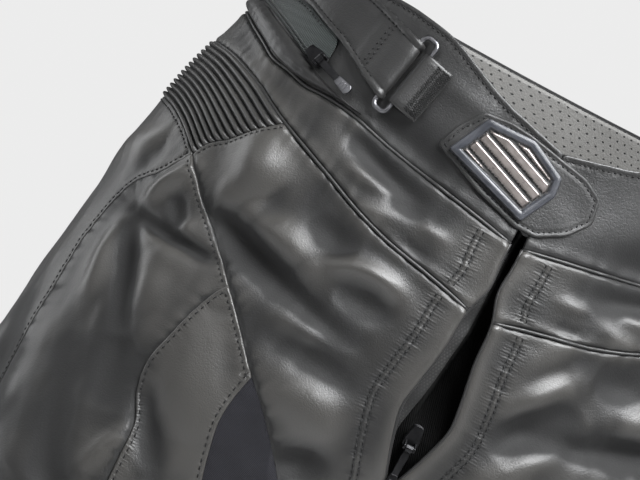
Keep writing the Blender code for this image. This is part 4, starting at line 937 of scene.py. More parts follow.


# The main leather carries the painted shade and highlight of its folds and seams.
LEATHER = leather_finish("leather", (0.002, 0.002, 0.002), (0.044, 0.0422, 0.0392), 0.45, 1.35)
TRIM_LEATHER = leather_finish("trim leather", (0.006, 0.006, 0.006), (0.022, 0.0216, 0.0212), 0.42)
# Painted shade: the waistband's leather is coloured darker than the same leather elsewhere, for the
# shade the band lies in.
BAND_LEATHER_SHADED = leather_finish("band leather", (0.002, 0.002, 0.0021), (0.024, 0.0238, 0.0234),
                              0.40, 1.0)
# A near-black finish, used on the plate's sunk field between its bars.
RECESS_BLACK = leather_finish("plate recess black", (0.002, 0.002, 0.002), (0.006, 0.006, 0.006),
                              0.50)
FABRIC = fabric_finish()
TAPE = tape_finish("zip tape", (0.010, 0.014, 0.013), (0.026, 0.034, 0.032), 0.3)
# Partly real and partly painted shade: a fly zip tape coloured nearly black with almost no shine, so
# the open fly reads as shade.
FLY_TAPE_SHADE = tape_finish("fly tape in painted shade", (0.0008, 0.0008, 0.0008), (0.003, 0.003, 0.003), 0.05)
LINING = lining_finish()
PLATE_RUBBER = rubber_finish("plate rubber", (0.024, 0.026, 0.032), (0.050, 0.053, 0.062), 0.24)
PLATE_FIELD = metal_finish("plate field", (0.20, 0.175, 0.165), (0.36, 0.325, 0.31), 0.20, 0.9)
BRIGHT_METAL = metal_finish("bright metal", (0.12, 0.12, 0.13), (0.26, 0.26, 0.27), 0.24)
BLACK_METAL = metal_finish("black metal", (0.015, 0.015, 0.016), (0.05, 0.05, 0.052), 0.28)
COIL = metal_finish("zip coil", (0.010, 0.012, 0.012), (0.035, 0.038, 0.037), 0.38, 0.0)
THREAD = thread_finish()


def keep(piece, nodes, slot, body=BODY):
    """Makes a piece ride on a body in place of its solids."""
    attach(piece, body)
    if nodes:
        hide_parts(*nodes)
    return piece


SHEET_SHARE = 0.98                      # the flat cut against the creased face
MOST_FILLED, LEAST_FILLED = 0.995, 0.32  # share of the rectangle that a cut fills


def as_sheet(piece, flat_points):
    """Works out the size of the rectangle a sheet's cut comes from, grown or shrunk to fit the piece's
    area; the size is not kept.
    """
    wide, tall = (float(x) for x in np.ptp(flat_points, axis=0))
    both_faces = sum(f.area for f in piece.data.polygons)
    area = both_faces / 2 * SHEET_SHARE
    grow = max(1.0, (area / (MOST_FILLED * wide * tall)) ** 0.5)
    if area < LEAST_FILLED * wide * tall:
        grow = min(grow, (area / (LEAST_FILLED * wide * tall)) ** 0.5)
    round(wide * grow + 0.0005, 4)
    round(tall * grow + 0.0005, 4)


# Sewing

def seam_offset(line, gap):
    """The line moved to its left by gap, in metres on the flat."""
    d = unit(np.gradient(line, axis=0))
    return line + np.stack([-d[:, 1], d[:, 0]], -1) * gap


def even_points(line, pitch):
    """Points a pitch apart along a line, about evenly."""
    size = lengths_along(line)
    count = max(2, int(size[-1] / pitch) + 1)
    return read_line(np.linspace(0, size[-1], count), size, line)


# Rings of a stitch: place along it, size, height
RINGS = ((-0.50, 0.30, -0.35), (-0.30, 0.92, 0.12), (0.0, 1.0, 0.30), (0.30, 0.92, 0.12),
         (0.50, 0.30, -0.35))


def stitch_mesh(mids, ways, outs, long, thick):
    """Vertices and faces of short thread lengths that dip in at both ends."""
    sides = 5
    wides = np.cross(ways, outs)
    rows = []
    for at, size, height in RINGS:
        for k in range(sides):
            a = TURN * k / sides
            rows.append(mids + ways * at * long + outs * (height * thick * 1.3)
                        + size * thick * (np.cos(a) * wides + np.sin(a) * outs))
    verts = np.stack(rows, 1).reshape(-1, 3)
    per = len(RINGS) * sides
    one = []
    for r in range(len(RINGS) - 1):
        for k in range(sides):
            a, b = r * sides + k, r * sides + (k + 1) % sides
            one += [(a, b, b + sides), (a, b + sides, a + sides)]
    for k in range(1, sides - 1):
        one += [(0, k + 1, k), (per - sides, per - sides + k, per - sides + k + 1)]
    one = np.array(one)
    faces = (one[None] + (np.arange(len(mids)) * per)[:, None, None]).reshape(-1, 3)
    return verts, faces


PITCH, LEG_PITCH = 3.2 * MM, 4.0 * MM
THREAD_THICK, THREAD_SHARE = 0.44 * MM, 0.60


def row_of_stitches(points, outs, pitch=PITCH):
    """Stitches along points in space."""
    size = lengths_along(points)
    count = int(size[-1] / pitch)
    if count < 1:
        return None
    at = (np.arange(count) + 0.5) * size[-1] / count
    ahead = (read_line(at + 0.3 * pitch, size, points)
             - read_line(at - 0.3 * pitch, size, points))
    ahead /= np.maximum(np.linalg.norm(ahead, axis=1, keepdims=True), 1e-9)
    out = read_line(at, size, outs)
    out = unit(out - ahead * np.sum(out * ahead, axis=1, keepdims=True))
    return stitch_mesh(read_line(at, size, points), ahead, out, pitch * THREAD_SHARE,
                       THREAD_THICK)


def gathered(parts):
    """Several meshes as one; a part that is None is left out."""
    verts, faces, base = [], [], 0
    for part in parts:
        if part is None:
            continue
        verts.append(part[0])
        faces.append(part[1] + base)
        base += len(part[0])
    return np.concatenate(verts), np.concatenate(faces)


# Rows of topstitching: panel, seam, first row, last row, distance from the seam in mm
TOPSTITCH = [
    ("waistband_front", "top", 0, 9, TOP_ROW), ("waistband_back", "top", 9, 12, TOP_ROW)]
TOPSTITCH += [(panel, seam, first, last, SEAM_ROW) for panel, seam, first, last in (
    ("front_hip", "rib_front", 0, 4), ("side_leg", "rib_low", 0, 6), ("side_leg", "side_arc", 0, 8),
    ("side_leg", "outer_seam", 0, 1), ("side_shin", "outer_seam", 1, 5),
    ("side_shin", "back_low", 3, 6), ("side_leg", "back_side", 0, 3), ("side_leg", "back_low", 0, 3),
    ("side_leg", "knee", 2, 3), ("front_leg", "knee", 0, 2), ("back_leg", "knee", 3, 5),
    ("outer_thigh", "diagonal", 0, 6), ("front_leg", "diagonal", 6, 8),
    ("front_leg", "thigh_edge", 0, 12), ("front_leg", "insert_edge", 0, 9),
    ("seat", "seat_low", 0, 4), ("seat", "rib_back", 0, 3))]
TOPSTITCH += [(panel, "hem", first, last, HEM_ROW) for panel, first, last in (
    ("side_shin", 2, 3), ("shin", 0, 2), ("calf", 3, 5))]
TOPSTITCH += [(panel, "fly", first, last, row / MM) for panel, first, last in (
    ("yoke_front", 0, 3), ("front_hip", 3, 10)) for row in FLY_ROWS]


def beside_seam(panel, seam, first, last, gap, pitch=2.4 * MM):
    """(u, z) of a line inside a panel at the distance from one of its seams."""
    line = even_points(seam_run(seam, first, last) * (HALF_ROUND, 1), pitch)
    loop = drawn_in(loop_of(PANELS[panel]), 0.5 * MM)
    for way in (1, -1):
        moved = seam_offset(line, way * gap * MM)
        within, _ = inside(moved, loop)
        if within.mean() > 0.5:
            moved = moved[within]
            return moved / (HALF_ROUND, 1)
    return None


FAR_ROW = 5.0            # a row this far from its seam, in mm, gets closer triangles of its own


def sewn_near(panel, side):
    """Where along the nearest stitches each point is, how much it puckers, and its painted shade and
    mottle.
    """
    lines = []
    for sewn, seam, first, last, gap in TOPSTITCH:
        if sewn == panel:
            line = beside_seam(panel, seam, first, last, gap, 2 * MM)
            if line is not None and len(line) > 3:
                lines.append((line * (HALF_ROUND, 1), 2.6 * MM if gap > FAR_ROW else 1.8 * MM))

    def measure(points):
        along, best, reach = (np.zeros(len(points)), np.full(len(points), 1.0),
                              np.full(len(points), 3 * MM))
        for line, far in lines:
            low, high = line.min(axis=0) - 3 * far, line.max(axis=0) + 3 * far
            near = np.nonzero(np.all((points > low) & (points < high), axis=1))[0]
            if not len(near):
                continue
            d, s = from_line(points[near], line)
            closer = d < best[near]
            k = near[closer]
            best[k], along[k], reach[k] = d[closer], s[closer], far
        return (along / MM, np.exp(-(best / reach)**2),
                leather_tone(points[:, 0] / HALF_ROUND, points[:, 1], side, panel))
    return measure


# Sewn panels

PANEL_FINISH = {"stretch_insert": FABRIC, "waistband_front": BAND_LEATHER_SHADED,
                "waistband_back": BAND_LEATHER_SHADED}
PANEL_GAP = 0.06 * MM


def sewn_panel(panel, parts):
    """One pattern piece, right and left."""
    outline = drawn_in(loop_of(parts), PANEL_GAP)
    lines = []
    for sewn, seam, first, last, gap in TOPSTITCH:
        if sewn == panel and gap > FAR_ROW:
            for shift in (-0.8, 0.0, 0.8):
                lines.append(beside_seam(panel, seam, first, last, gap + shift, 1.5 * MM)
                             * (HALF_ROUND, 1))
    flat, faces = tiled(outline, HIP_STEP, rows_of=lines)
    for word, side in SIDES:
        def high(points):
            return leather_rise(points[:, 0] / HALF_ROUND, points[:, 1], side, panel)

        def low(points):
            return fold_rise(points[:, 0] / HALF_ROUND, points[:, 1], side) - WALL
        piece = shell(f"{panel}_{word}_shell", flat, faces, placer(lifted, side), high, low,
                      PANEL_FINISH.get(panel, LEATHER), side == 1, sewn_near(panel, side))
        keep(piece, [f"{panel}_{word}"],
             "stretch_fabric" if panel == "stretch_insert" else "leather")
        as_sheet(piece, outline)


for panel, parts in PANELS.items():
    sewn_panel(panel, parts)


# Ribbed panel

RIBS, RIB_RISE = 13, 2.3 * MM
RIB_ROWS, RIB_COLUMNS = 12, 110        # rows of points for each rib, and points along it
RIB_SLANT = 0.25


def rib_low_z(u):
    """Lower edge of the ribs, carried on past its front corner."""
    line, _ = LINES["rib_low"]
    return np.where(u < line[0, 0], line[0, 1] - (line[0, 0] - u) * RIB_SLANT,
                    np.interp(u, line[:, 0], line[:, 1]))


def rib_top_z(u):
    line, _ = LINES["yoke_low"]
    return np.interp(u, line[:, 0], line[:, 1])


def rib_sheet(word, side):
    """The stretch panel, gathered into ribs that thin out at both ends."""
    front, back = seam_run("rib_front", 0, 4), seam_run("rib_back", 0, 3)
    share = [(rib_top_z(e[:, 0]) - e[:, 1]) / (rib_top_z(e[:, 0]) - rib_low_z(e[:, 0]))
             for e in (front, back)]
    v = np.linspace(0, 1, RIBS * RIB_ROWS + 1)
    s = np.linspace(0, 1, RIB_COLUMNS)
    u0, u1 = np.interp(v, share[0], front[:, 0]), np.interp(v, share[1], back[:, 0])
    drawn = 0.0002 * np.where(s == 0, 1, np.where(s == 1, -1, 0))
    u = u0[:, None] + (u1 - u0)[:, None] * s + drawn
    sway = 0.03 * np.sin(u * 31 + side)
    z = rib_top_z(u) - v[:, None] * (rib_top_z(u) - rib_low_z(u))
    ribs = np.abs(np.sin(np.pi * (v[:, None] * RIBS + sway * np.sin(np.pi * v[:, None])))) ** 0.60
    ends = np.clip(np.minimum(s / 0.03, (1 - s) / 0.03), 0, 1)
    ends = 1 - (1 - ends)**2
    rise = RIB_RISE * (1.35 * ribs * (0.35 + 0.65 * ends) - 0.42)
    rise = rise * (1 + 0.10 * waves(np.stack([u * 0.9, z, 0 * u], -1), 0.03, 21))
    flat = np.stack([u * HALF_ROUND, z], -1).reshape(-1, 2)
    uu, zz = u.ravel(), z.ravel()
    outer = on_cloth(uu, zz, rise.ravel(), side)
    inner = on_cloth(uu, zz, np.full(len(uu), -WALL), side)
    faces = two_faced(grid_faces(len(v), RIB_COLUMNS), len(uu))
    if side == -1:
        faces = faces[:, ::-1]
    piece = new_mesh(f"rib_panel_{word}_shell", np.concatenate([outer, inner]), faces, LEATHER,
                     np.concatenate([flat, flat]))
    # Painted shade and highlight: the rib valleys are coloured darker and the crests lighter.
    mark(piece, tone=0.06 + 0.62 * ribs.ravel()**1.5)
    keep(piece, [f"rib_panel_{word}"], "leather")
    as_sheet(piece, flat)


for word, side in SIDES:
    rib_sheet(word, side)


# Topstitching

for word, side in SIDES:
    rows = []
    for panel, seam, first, last, gap in TOPSTITCH:
        line = beside_seam(panel, seam, first, last, gap)
        if line is None or len(line) < 4:
            continue
        u, z = line.T
        points = lifted(u, z, leather_rise(u, z, side, panel) + 0.05 * MM, side)
        rows.append(row_of_stitches(points, outward(u, z) * (side, 1, 1),
                                    PITCH if z.mean() > LEG_Z else LEG_PITCH))
    keep(new_mesh(f"topstitching_{word}", *gathered(rows), THREAD), [], "leather")


def rope(points, outs, radius, sides=8):
    """A tube along points in space, closed at its ends."""
    ahead = unit(np.gradient(points, axis=0))
    wide = unit(np.cross(ahead, outs))
    up = np.cross(wide, ahead)
    rows = [points + radius * (np.cos(TURN * k / sides) * wide + np.sin(TURN * k / sides) * up)
            for k in range(sides)]
    verts = np.stack(rows, 1).reshape(-1, 3)
    i, k = np.meshgrid(np.arange(len(points) - 1), np.arange(sides), indexing="ij")
    a, b = (i * sides + k).ravel(), (i * sides + (k + 1) % sides).ravel()
    faces = np.concatenate([np.stack([a, b + sides, b], -1),
                            np.stack([a, a + sides, b + sides], -1)])
    caps = [(0, k, k + 1) for k in range(1, sides - 1)]
    last = (len(points) - 1) * sides
    caps += [(last, last + k + 1, last + k) for k in range(1, sides - 1)]
    return verts, np.concatenate([faces, np.array(caps)])


# Piping, the rolled edges of the fly, and the welts of the centre seams

PIPED = [("waist_low", 0, 15), ("yoke_low", 0, 14), ("fly", 0, 10)]
CENTRE = [("centre_back", 0, 10), ("centre_front", 0, 5)]
PIPE_RADIUS, PIPE_SINK = 0.85 * MM, 0.10 * MM
for word, side in SIDES:
    rows = []
    for seam, first, last in PIPED + (CENTRE if side == 1 else []):
        line = even_points(seam_run(seam, first, last), 0.004)
        u, z = np.clip(line[:, 0], 0.0005, 0.9995), line[:, 1]
        points = on_cloth(u, z, np.full(len(u), -PIPE_SINK), side)
        rows.append(rope(points, outward(u, z) * (side, 1, 1), PIPE_RADIUS))
    keep(new_mesh(f"piping_{word}", *gathered(rows), TRIM_LEATHER), [], "leather")


# Hip pocket

LIP_LOW = [(0.160, -0.0300), (0.206, -0.0285), (0.250, -0.0280), (0.300, -0.0245),
           (0.346, -0.0185), (0.402, -0.0125), (0.452, -0.0085), (0.480, -0.0065)]
LIP_TOP = [(0.480, -0.0020), (0.442, -0.0005), (0.352, -0.0065), (0.300, -0.0125),
           (0.258, -0.0180), (0.215, -0.0240), (0.185, -0.0275), (0.160, -0.0293)]
LIP_RISE = 5.5 * MM
TAPE_LOW = [(0.262, -0.0165), (0.300, -0.0110), (0.352, -0.0050), (0.442, 0.0010),
            (0.480, 0.0005)]
COIL_LINE = [(u, z + 0.0014) for u, z in TAPE_LOW]
TAPE_TOP = [(0.480, 0.0125), (0.402, 0.0118), (0.352, 0.0100), (0.308, 0.0074),
            (0.268, 0.0024), (0.236, -0.0020), (0.232, -0.0120)]
TAPE_THICK, TAPE_RIDGE = 1.0 * MM, 0.06 * MM
COIL_PITCH = 1.15 * MM


def outline_of(*tables):
    """Closed outline on the flat through tables of (u, z)."""
    loop = np.concatenate([curve_rows(rows, 2.0 * MM)[0] for rows in tables]) * (HALF_ROUND, 1)
    loop = loop[np.linalg.norm(loop - np.roll(loop, 1, axis=0), axis=1) > 0.4 * MM]
    return loop if counter_clockwise(loop) else loop[::-1]


lip_loop, tape_loop = outline_of(LIP_LOW, LIP_TOP), outline_of(TAPE_LOW, TAPE_TOP)
lip_line = curve_rows(LIP_LOW, 2 * MM)[0] * (HALF_ROUND, 1)


def lip_height(points):
    """A puffed lip with a stitched crease along its lower seam."""
    gap = inside_far(points, lip_loop)[1]
    s = np.clip(gap / LIP_RISE, 0, 1)
    d, along = from_line(points, lip_line)
    ripple = np.sin(along * TURN / 0.0105 + 1.4 * np.sin(along * TURN / 0.04))
    crease = bell(d, 2.6 * MM, 0.9 * MM)
    return (0.65 * MM + 1.0 * MM * np.sqrt(np.clip(gap / (0.8 * MM), 0, 1))
            + (LIP_RISE - 1.4 * MM) * np.sqrt(1 - (1 - s)**2)
            - 0.35 * MM * crease + 0.10 * MM * ripple * np.sin(np.pi * s)**0.5)


def tape_height(points):
    """A flat tape with a faint ridge along each row of its weave."""
    return TAPE_RIDGE * np.sin(points[:, 1] * TURN / 0.004) + LAY_GAP + TAPE_THICK


def zip_coil(word, side):
    """Two rows of slanted turns along the lower edge of the tape."""
    u, z = even_points(curve_rows(COIL_LINE, 2 * MM)[0], 2 * MM).T
    path = on_cloth(u, z, np.full(len(u), LAY_GAP + TAPE_THICK + 0.5 * MM), side)
    size = lengths_along(path)
    at = np.arange(0.6 * MM, size[-1], COIL_PITCH)
    mids = read_line(at, size, path)
    out = read_line(at, size, outward(u, z) * (side, 1, 1))
    ahead = unit(np.gradient(mids, axis=0))
    wide = unit(np.cross(out, ahead))
    way = unit(wide + 0.18 * ahead)
    turns = [stitch_mesh(mids + row * wide * 0.9 * MM, way, out, 2.0 * MM, 0.42 * MM)
             for row in (1, -1)]
    keep(new_mesh(f"pocket_coil_{word}", *gathered(turns), COIL), [], "zip_tape")


def tape_stitching(word, side):
    """A row of stitches along the upper edge of the tape."""
    line = even_points(curve_rows(TAPE_TOP[:-2], 2 * MM)[0] * (HALF_ROUND, 1), 2 * MM)
    for way in (1, -1):
        row = seam_offset(line, way * 1.6 * MM)
        within = inside(row, tape_loop)[0]
        if within.mean() > 0.6:
            break
    u, z = row[within, 0] / HALF_ROUND, row[within, 1]
    points = on_cloth(u, z, np.full(len(u), LAY_GAP + 1.02 * MM), side)
    stitches = row_of_stitches(points, outward(u, z) * (side, 1, 1), 2.9 * MM)
    keep(new_mesh(f"pocket_stitching_{word}", *stitches, THREAD), [], "leather")


for word, side in SIDES:
    flat, faces = tiled(lip_loop, 1.8 * MM, (0.3, 0.8, 1.4))
    piece = shell(f"pocket_lip_{word}_shell", flat, faces, placer(on_cloth, side), lip_height,
                  0.4 * MM, TRIM_LEATHER, side == 1)
    keep(piece, [f"pocket_lip_{word}"], "leather")
    flat, faces = tiled(tape_loop, 2.6 * MM, (0.5,))
    piece = shell(f"pocket_tape_{word}", flat, faces, placer(on_cloth, side), tape_height,
                  0.4 * MM, TAPE, side == 1)
    keep(piece, [f"pocket_zip_tape_{word}"], "zip_tape")
    zip_coil(word, side)
    tape_stitching(word, side)


# Waist strap, ring and loop: along in metres from the ring's bar, lower u, z, upper u, z
STRAP = np.array([
    (-0.024, 0.108, -0.0232, 0.095, 0.0108), (0.000, 0.151, -0.0190, 0.139, 0.0160),
    (0.012, 0.174, -0.0140, 0.163, 0.0195), (0.026, 0.200, -0.0080, 0.190, 0.0235),
    (0.042, 0.230, -0.0020, 0.222, 0.0270), (0.060, 0.268, 0.0030, 0.262, 0.0305),
    (0.080, 0.308, 0.0080, 0.304, 0.0330), (0.105, 0.360, 0.0110, 0.358, 0.0350)])
STRAP_HALF = 0.8 * MM
WIRE, RING_WIRE = 1.6 * MM, 1.3 * MM
BAR_GAP = 9.0 * MM
BAR_H = LAY_GAP + 2 * STRAP_HALF + 0.3 * MM + WIRE
WRAP = WIRE + 0.3 * MM + STRAP_HALF
LAYER = LAY_GAP + 3 * STRAP_HALF + 0.3 * MM
STRAP_TOP = [(0.008, 0.0058), (0.014, 0.0042), (0.019, LAYER), (0.024, LAYER - 0.0004),
             (0.030, 0.0014), (0.042, LAY_GAP + STRAP_HALF)]
STRAP_TOP += [(s, LAY_GAP + STRAP_HALF) for s in (0.054, 0.066, 0.079, 0.092, 0.104)]
LOOP_TOP = [(0.006, 0.0052), (0.010, LAYER + 0.0003), (0.0145, LAYER)]
STRAP_WIDE, STRAP_ROW = 38 * MM, 4.3 * MM      # width, and its stitches from the edge


def strap_point(s, t, out, side):
    """Point at s along the strap, share t across it and out from the waistband."""
    s, t, out = np.broadcast_arrays(s, t, out)
    lu, lz, tu, tz = (np.interp(s, STRAP[:, 0], STRAP[:, k]) for k in (1, 2, 3, 4))
    shape = s.shape
    u, z = (lu + (tu - lu) * t).ravel(), (lz + (tz - lz) * t).ravel()
    return lifted(u, z, out.ravel(), side).reshape(*shape, 3)


def wrap_path(bar, way, under_end, top_rows):
    """Under layer, turn round the bar, then the rows of the top layer."""
    low = LAY_GAP + STRAP_HALF
    rows = [(bar + way * under_end, low), (bar + way * under_end * 0.5, low), (bar, low)]
    for angle in np.linspace(-90, -270, 13)[1:]:
        a = np.radians(angle)
        rows.append((bar + way * WRAP * np.cos(a), BAR_H + WRAP * np.sin(a)))
    return np.array(rows + [(bar + way * s, h) for s, h in top_rows])


def edge_drop(gap, width):
    """1 at an edge, rounding off to 0 over the width."""
    return 1 - np.sqrt(np.clip(1 - np.clip(1 - gap / width, 0, 1)**2, 0, 1))


def strip(name, path, way, t0, t1, columns, side, padding, finish):
    """A strip of leather along path, its outer face raised by padding(s, t)."""
    path = even_points(path, 1.6 * MM)
    soft = path.copy()
    for _ in range(3):
        soft[1:-1] = (soft[:-2] + 2 * soft[1:-1] + soft[2:]) / 4
    path = soft
    ahead = unit(np.gradient(path, axis=0))
    normal = way * np.stack([-ahead[:, 1], ahead[:, 0]], -1)
    t = np.linspace(t0, t1, columns)
    edge = np.minimum(t - t0, t1 - t)[:, None] * STRAP_WIDE
    s = np.broadcast_to(path[:, 0], (columns, len(path)))
    rim = edge_drop(edge, 0.9 * MM)
    half_out = (STRAP_HALF + padding(s, np.broadcast_to(t[:, None], s.shape), edge)
                - (STRAP_HALF + 0.4 * MM) * rim)
    half_in = STRAP_HALF * (1 - 0.6 * rim)
    verts = []
    for half, sign in ((half_out, 1), (half_in, -1)):
        at = path[None] + sign * normal[None] * np.broadcast_to(half, s.shape)[..., None]
        verts.append(strap_point(at[..., 0], t[:, None], at[..., 1], side).reshape(-1, 3))
    n, count = len(path), columns * len(path)
    j, i = np.meshgrid(np.arange(columns - 1), np.arange(n - 1), indexing="ij")
    a = (j * n + i).ravel()
    top = np.concatenate([np.stack([a, a + n, a + n + 1], -1), np.stack([a, a + n + 1, a + 1], -1)])
    faces = two_faced(top, count)
    if (side == 1) == (way == 1):
        faces = faces[:, ::-1]
    uv = np.stack([np.repeat(t, n) * STRAP_WIDE, np.tile(path[:, 0], columns)], -1)
    length = float(np.linalg.norm(np.diff(path, axis=0), axis=1).sum())
    piece = new_mesh(name, np.concatenate(verts), faces, finish, np.concatenate([uv, uv]))
    return piece, length, path, normal


def strap_padding(s, t, edge):
    """Rolled edges, a stitched groove beside each, and a full middle."""
    roll = 0.9 * MM * np.sqrt(np.clip(np.sin(np.pi * np.clip(edge / (4.0 * MM), 0, 1)), 0, 1))
    groove = -0.35 * MM * bell(edge, STRAP_ROW, 0.6 * MM)
    middle = 0.45 * MM * np.clip((edge - 4.8 * MM) / (5 * MM), 0, 1)
    ripple = 0.14 * MM * np.sin(s * TURN / 0.0062 + 5 * t) * np.exp(-edge / (5 * MM))
    return roll + groove + middle + ripple


def loop_padding(_s, _t, edge):
    """Thin leather with a groove beside each edge."""
    return (0.35 * MM * np.clip(edge / (2.5 * MM), 0, 1)
            - 0.22 * MM * bell(edge, 2.2 * MM, 0.5 * MM))


def across_strap(path, s, t, out, side, first):
    """Points on the top layer of a wrapped strip, lifted by out from its middle line."""
    top = path[first:]
    order = np.argsort(top[:, 0])
    h = np.interp(s, top[order, 0], top[order, 1])
    points = strap_point(s, t, h + out, side)
    return points, unit(strap_point(s, t, h + out + 1 * MM, side) - points)


def zigzag(path, s_mid, side, first, t0, t1, out):
    """Zigzag sewing across a wrapped strip."""
    t = np.linspace(t0, t1, 46)
    s = s_mid + 1.3 * MM * np.where(np.arange(46) % 2, 1, -1)
    points, ups = across_strap(path, s, t, np.full(46, out), side, first)
    return rope(points, ups, 0.33 * MM, 5)


for word, side in SIDES:
    piece, length, path, normal = strip(f"waist_strap_{word}_shell",
                                        wrap_path(0, 1, 0.020, STRAP_TOP), 1, 0, 1, 47, side,
                                        strap_padding, TRIM_LEATHER)
    keep(piece, [f"waist_strap_{word}"], "leather")
    as_sheet(piece, np.array([(0, 0), (STRAP_WIDE, length)]))
    first = int(np.argmax(path[:, 1])) + 2
    rows = []
    for gap in (STRAP_ROW, STRAP_WIDE - STRAP_ROW):
        s = np.arange(0.008, 0.103, 0.0015)
        t = np.full(len(s), gap / STRAP_WIDE)
        edge = np.minimum(t, 1 - t) * STRAP_WIDE
        out = STRAP_HALF + strap_padding(s, t, edge)
        rows.append(row_of_stitches(*across_strap(path, s, t, out, side, first)))
    for s_at in (0.0165, 0.0192):
        t = np.linspace(0.06, 0.94, 40)
        s = np.full(40, s_at)
        out = STRAP_HALF + strap_padding(s, t, np.minimum(t, 1 - t) * STRAP_WIDE)
        rows.append(row_of_stitches(*across_strap(path, s, t, out, side, first), 3.0 * MM))
    piece, length, path, normal = strip(f"strap_loop_{word}_shell",
                                        wrap_path(-BAR_GAP, -1, 0.0145, LOOP_TOP), -1, 0.05, 0.93,
                                        41, side, loop_padding, TRIM_LEATHER)
    keep(piece, [f"strap_loop_{word}"], "leather")
    as_sheet(piece, np.array([(0, 0), (STRAP_WIDE * 0.88, length)]))
    first = int(np.argmax(path[:, 1])) + 2
    for s_at in (-BAR_GAP - 0.0082, -BAR_GAP - 0.0112, -BAR_GAP - 0.0136):
        rows.append(zigzag(path, s_at, side, first, 0.10, 0.88, STRAP_HALF + 0.42 * MM))
    keep(new_mesh(f"strap_stitching_{word}", *gathered(rows), THREAD), [], "leather")


def ring_wire(word, side):
    """The flat ring that joins the strap to its loop."""
    centre, path = -BAR_GAP / 2, []
    for corner in range(4):
        t_mid = 1.12 - 0.09 if corner in (0, 1) else -0.12 + 0.09
        s_way = 1 if corner in (0, 3) else -1
        t_way = 1 if corner in (0, 1) else -1
        angles = np.linspace(0, 90, 9) if corner in (0, 2) else np.linspace(90, 0, 9)
        for a in np.radians(angles):
            path.append((centre + s_way * (BAR_GAP / 2 - 0.003 + 0.003 * np.cos(a)),
                         t_mid + t_way * 0.09 * np.sin(a)))
    path.append(path[0])
    rows = even_points(np.array(path) * (1, STRAP_WIDE), 0.9 * MM)[:-1] / (1, STRAP_WIDE)
    mid = strap_point(rows[:, 0], rows[:, 1], np.full(len(rows), BAR_H), side)
    up = unit(strap_point(rows[:, 0], rows[:, 1], np.full(len(rows), BAR_H + MM), side) - mid)
    ahead = unit(np.roll(mid, -1, axis=0) - np.roll(mid, 1, axis=0))
    wide = np.cross(ahead, up)
    sides, count = 18, len(mid)
    ring = [mid + RING_WIRE * (np.cos(TURN * i / sides) * wide + np.sin(TURN * i / sides) * up)
            for i in range(sides)]
    verts = np.stack(ring, 1).reshape(-1, 3)
    k, i = np.meshgrid(np.arange(count), np.arange(sides), indexing="ij")
    a, b = (k * sides + i).ravel(), (k * sides + (i + 1) % sides).ravel()
    d = ((k + 1) % count * sides + i).ravel()
    c = ((k + 1) % count * sides + (i + 1) % sides).ravel()
    faces = np.concatenate([np.stack([a, c, b], -1), np.stack([a, d, c], -1)])
    keep(new_mesh(f"strap_ring_{word}_wire", verts, faces, BRIGHT_METAL),
         [f"strap_ring_{word}"], "ring_metal")


for word, side in SIDES:
    ring_wire(word, side)


# Closing tab and plate across the centre front, and the underlap. Rows of (x, z).
TAB = [(-0.058, -0.025), (-0.053, -0.012), (-0.044, 0.000), (-0.030, 0.0015), (-0.018, 0.0005),
       (0.000, -0.003), (0.016, -0.006), (0.027, -0.012), (0.029, -0.025), (0.020, -0.036),
       (0.006, -0.044), (-0.006, -0.044), (-0.030, -0.037)]
PLATE = [(-0.052, -0.025), (-0.041, -0.0025), (-0.016, -0.0015), (0.004, -0.012),
         (0.005, -0.022), (-0.005, -0.0405)]
UNDERLAP = [(-0.022, -0.043), (0.022, -0.043), (0.023, -0.150), (0.017, -0.186),
            (0.000, -0.196), (-0.017, -0.186), (-0.023, -0.150)]
TAB_THICK, PLATE_THICK = 1.8 * MM, 3.2 * MM
PLATE_LOW = 2 * LAY_GAP + TAB_THICK


def centre_place(flat, out):
    """Places points given as (x, z) across the centre front."""
    x, z = flat.T
    gap = np.maximum(np.abs(x), 1e-6)
    u = gap / 0.85
    for _ in range(8):
        u = u * gap / np.maximum(np.abs(surface(u, z)[..., 0]), 1e-7)
    p = surface(u, z) + outward(u, z) * (fold_rise(u, z, 1) + out)[..., None]
    p[..., 0] *= np.where(x < 0, 1, -1)
    return p


def rounded_loop(rows, step, turns):
    """Outline through the rows with its corners eased."""
    loop = even_points(np.array(rows + rows[:1], float), step)[:-1]
    for _ in range(turns):
        loop = (np.roll(loop, 1, axis=0) + 2 * loop + np.roll(loop, -1, axis=0)) / 4
    return loop if counter_clockwise(loop) else loop[::-1]


tab_loop = rounded_loop(TAB, 1.2 * MM, 3)
plate_loop = rounded_loop(PLATE, 0.8 * MM, 3)
underlap_loop = rounded_loop(UNDERLAP, 2.5 * MM, 2)


TAB_ROW = 2.6 * MM           # the tab's stitches from its edge


def tab_height(points):
    """Soft leather with a stitched groove inside its edge."""
    gap = inside_far(points, tab_loop)[1]
    rim = edge_drop(gap, 0.9 * MM)
    p3 = np.stack([points[:, 0], points[:, 1], 0 * points[:, 0]], -1)
    return (LAY_GAP + TAB_THICK - 1.0 * MM * rim + 0.30 * MM * np.exp(-gap / (5 * MM))
            - 0.35 * MM * bell(gap, TAB_ROW, 0.6 * MM)
            + 0.15 * MM * waves(p3, 0.018, 31))


PLATE_WAY = np.array([0.93, -0.37])      # the plate's bars run along this
BAR_PITCH = 6.4 * MM
BORDER_WIDE = 4.2 * MM


def plate_bars(points):
    """1 on the plain straight bars of the plate's field, 0 in the gaps between them."""
    across = points @ np.array([-PLATE_WAY[1], PLATE_WAY[0]])
    return np.clip(0.5 + 3.2 * (np.cos(across * TURN / BAR_PITCH) + 0.55), 0, 1)


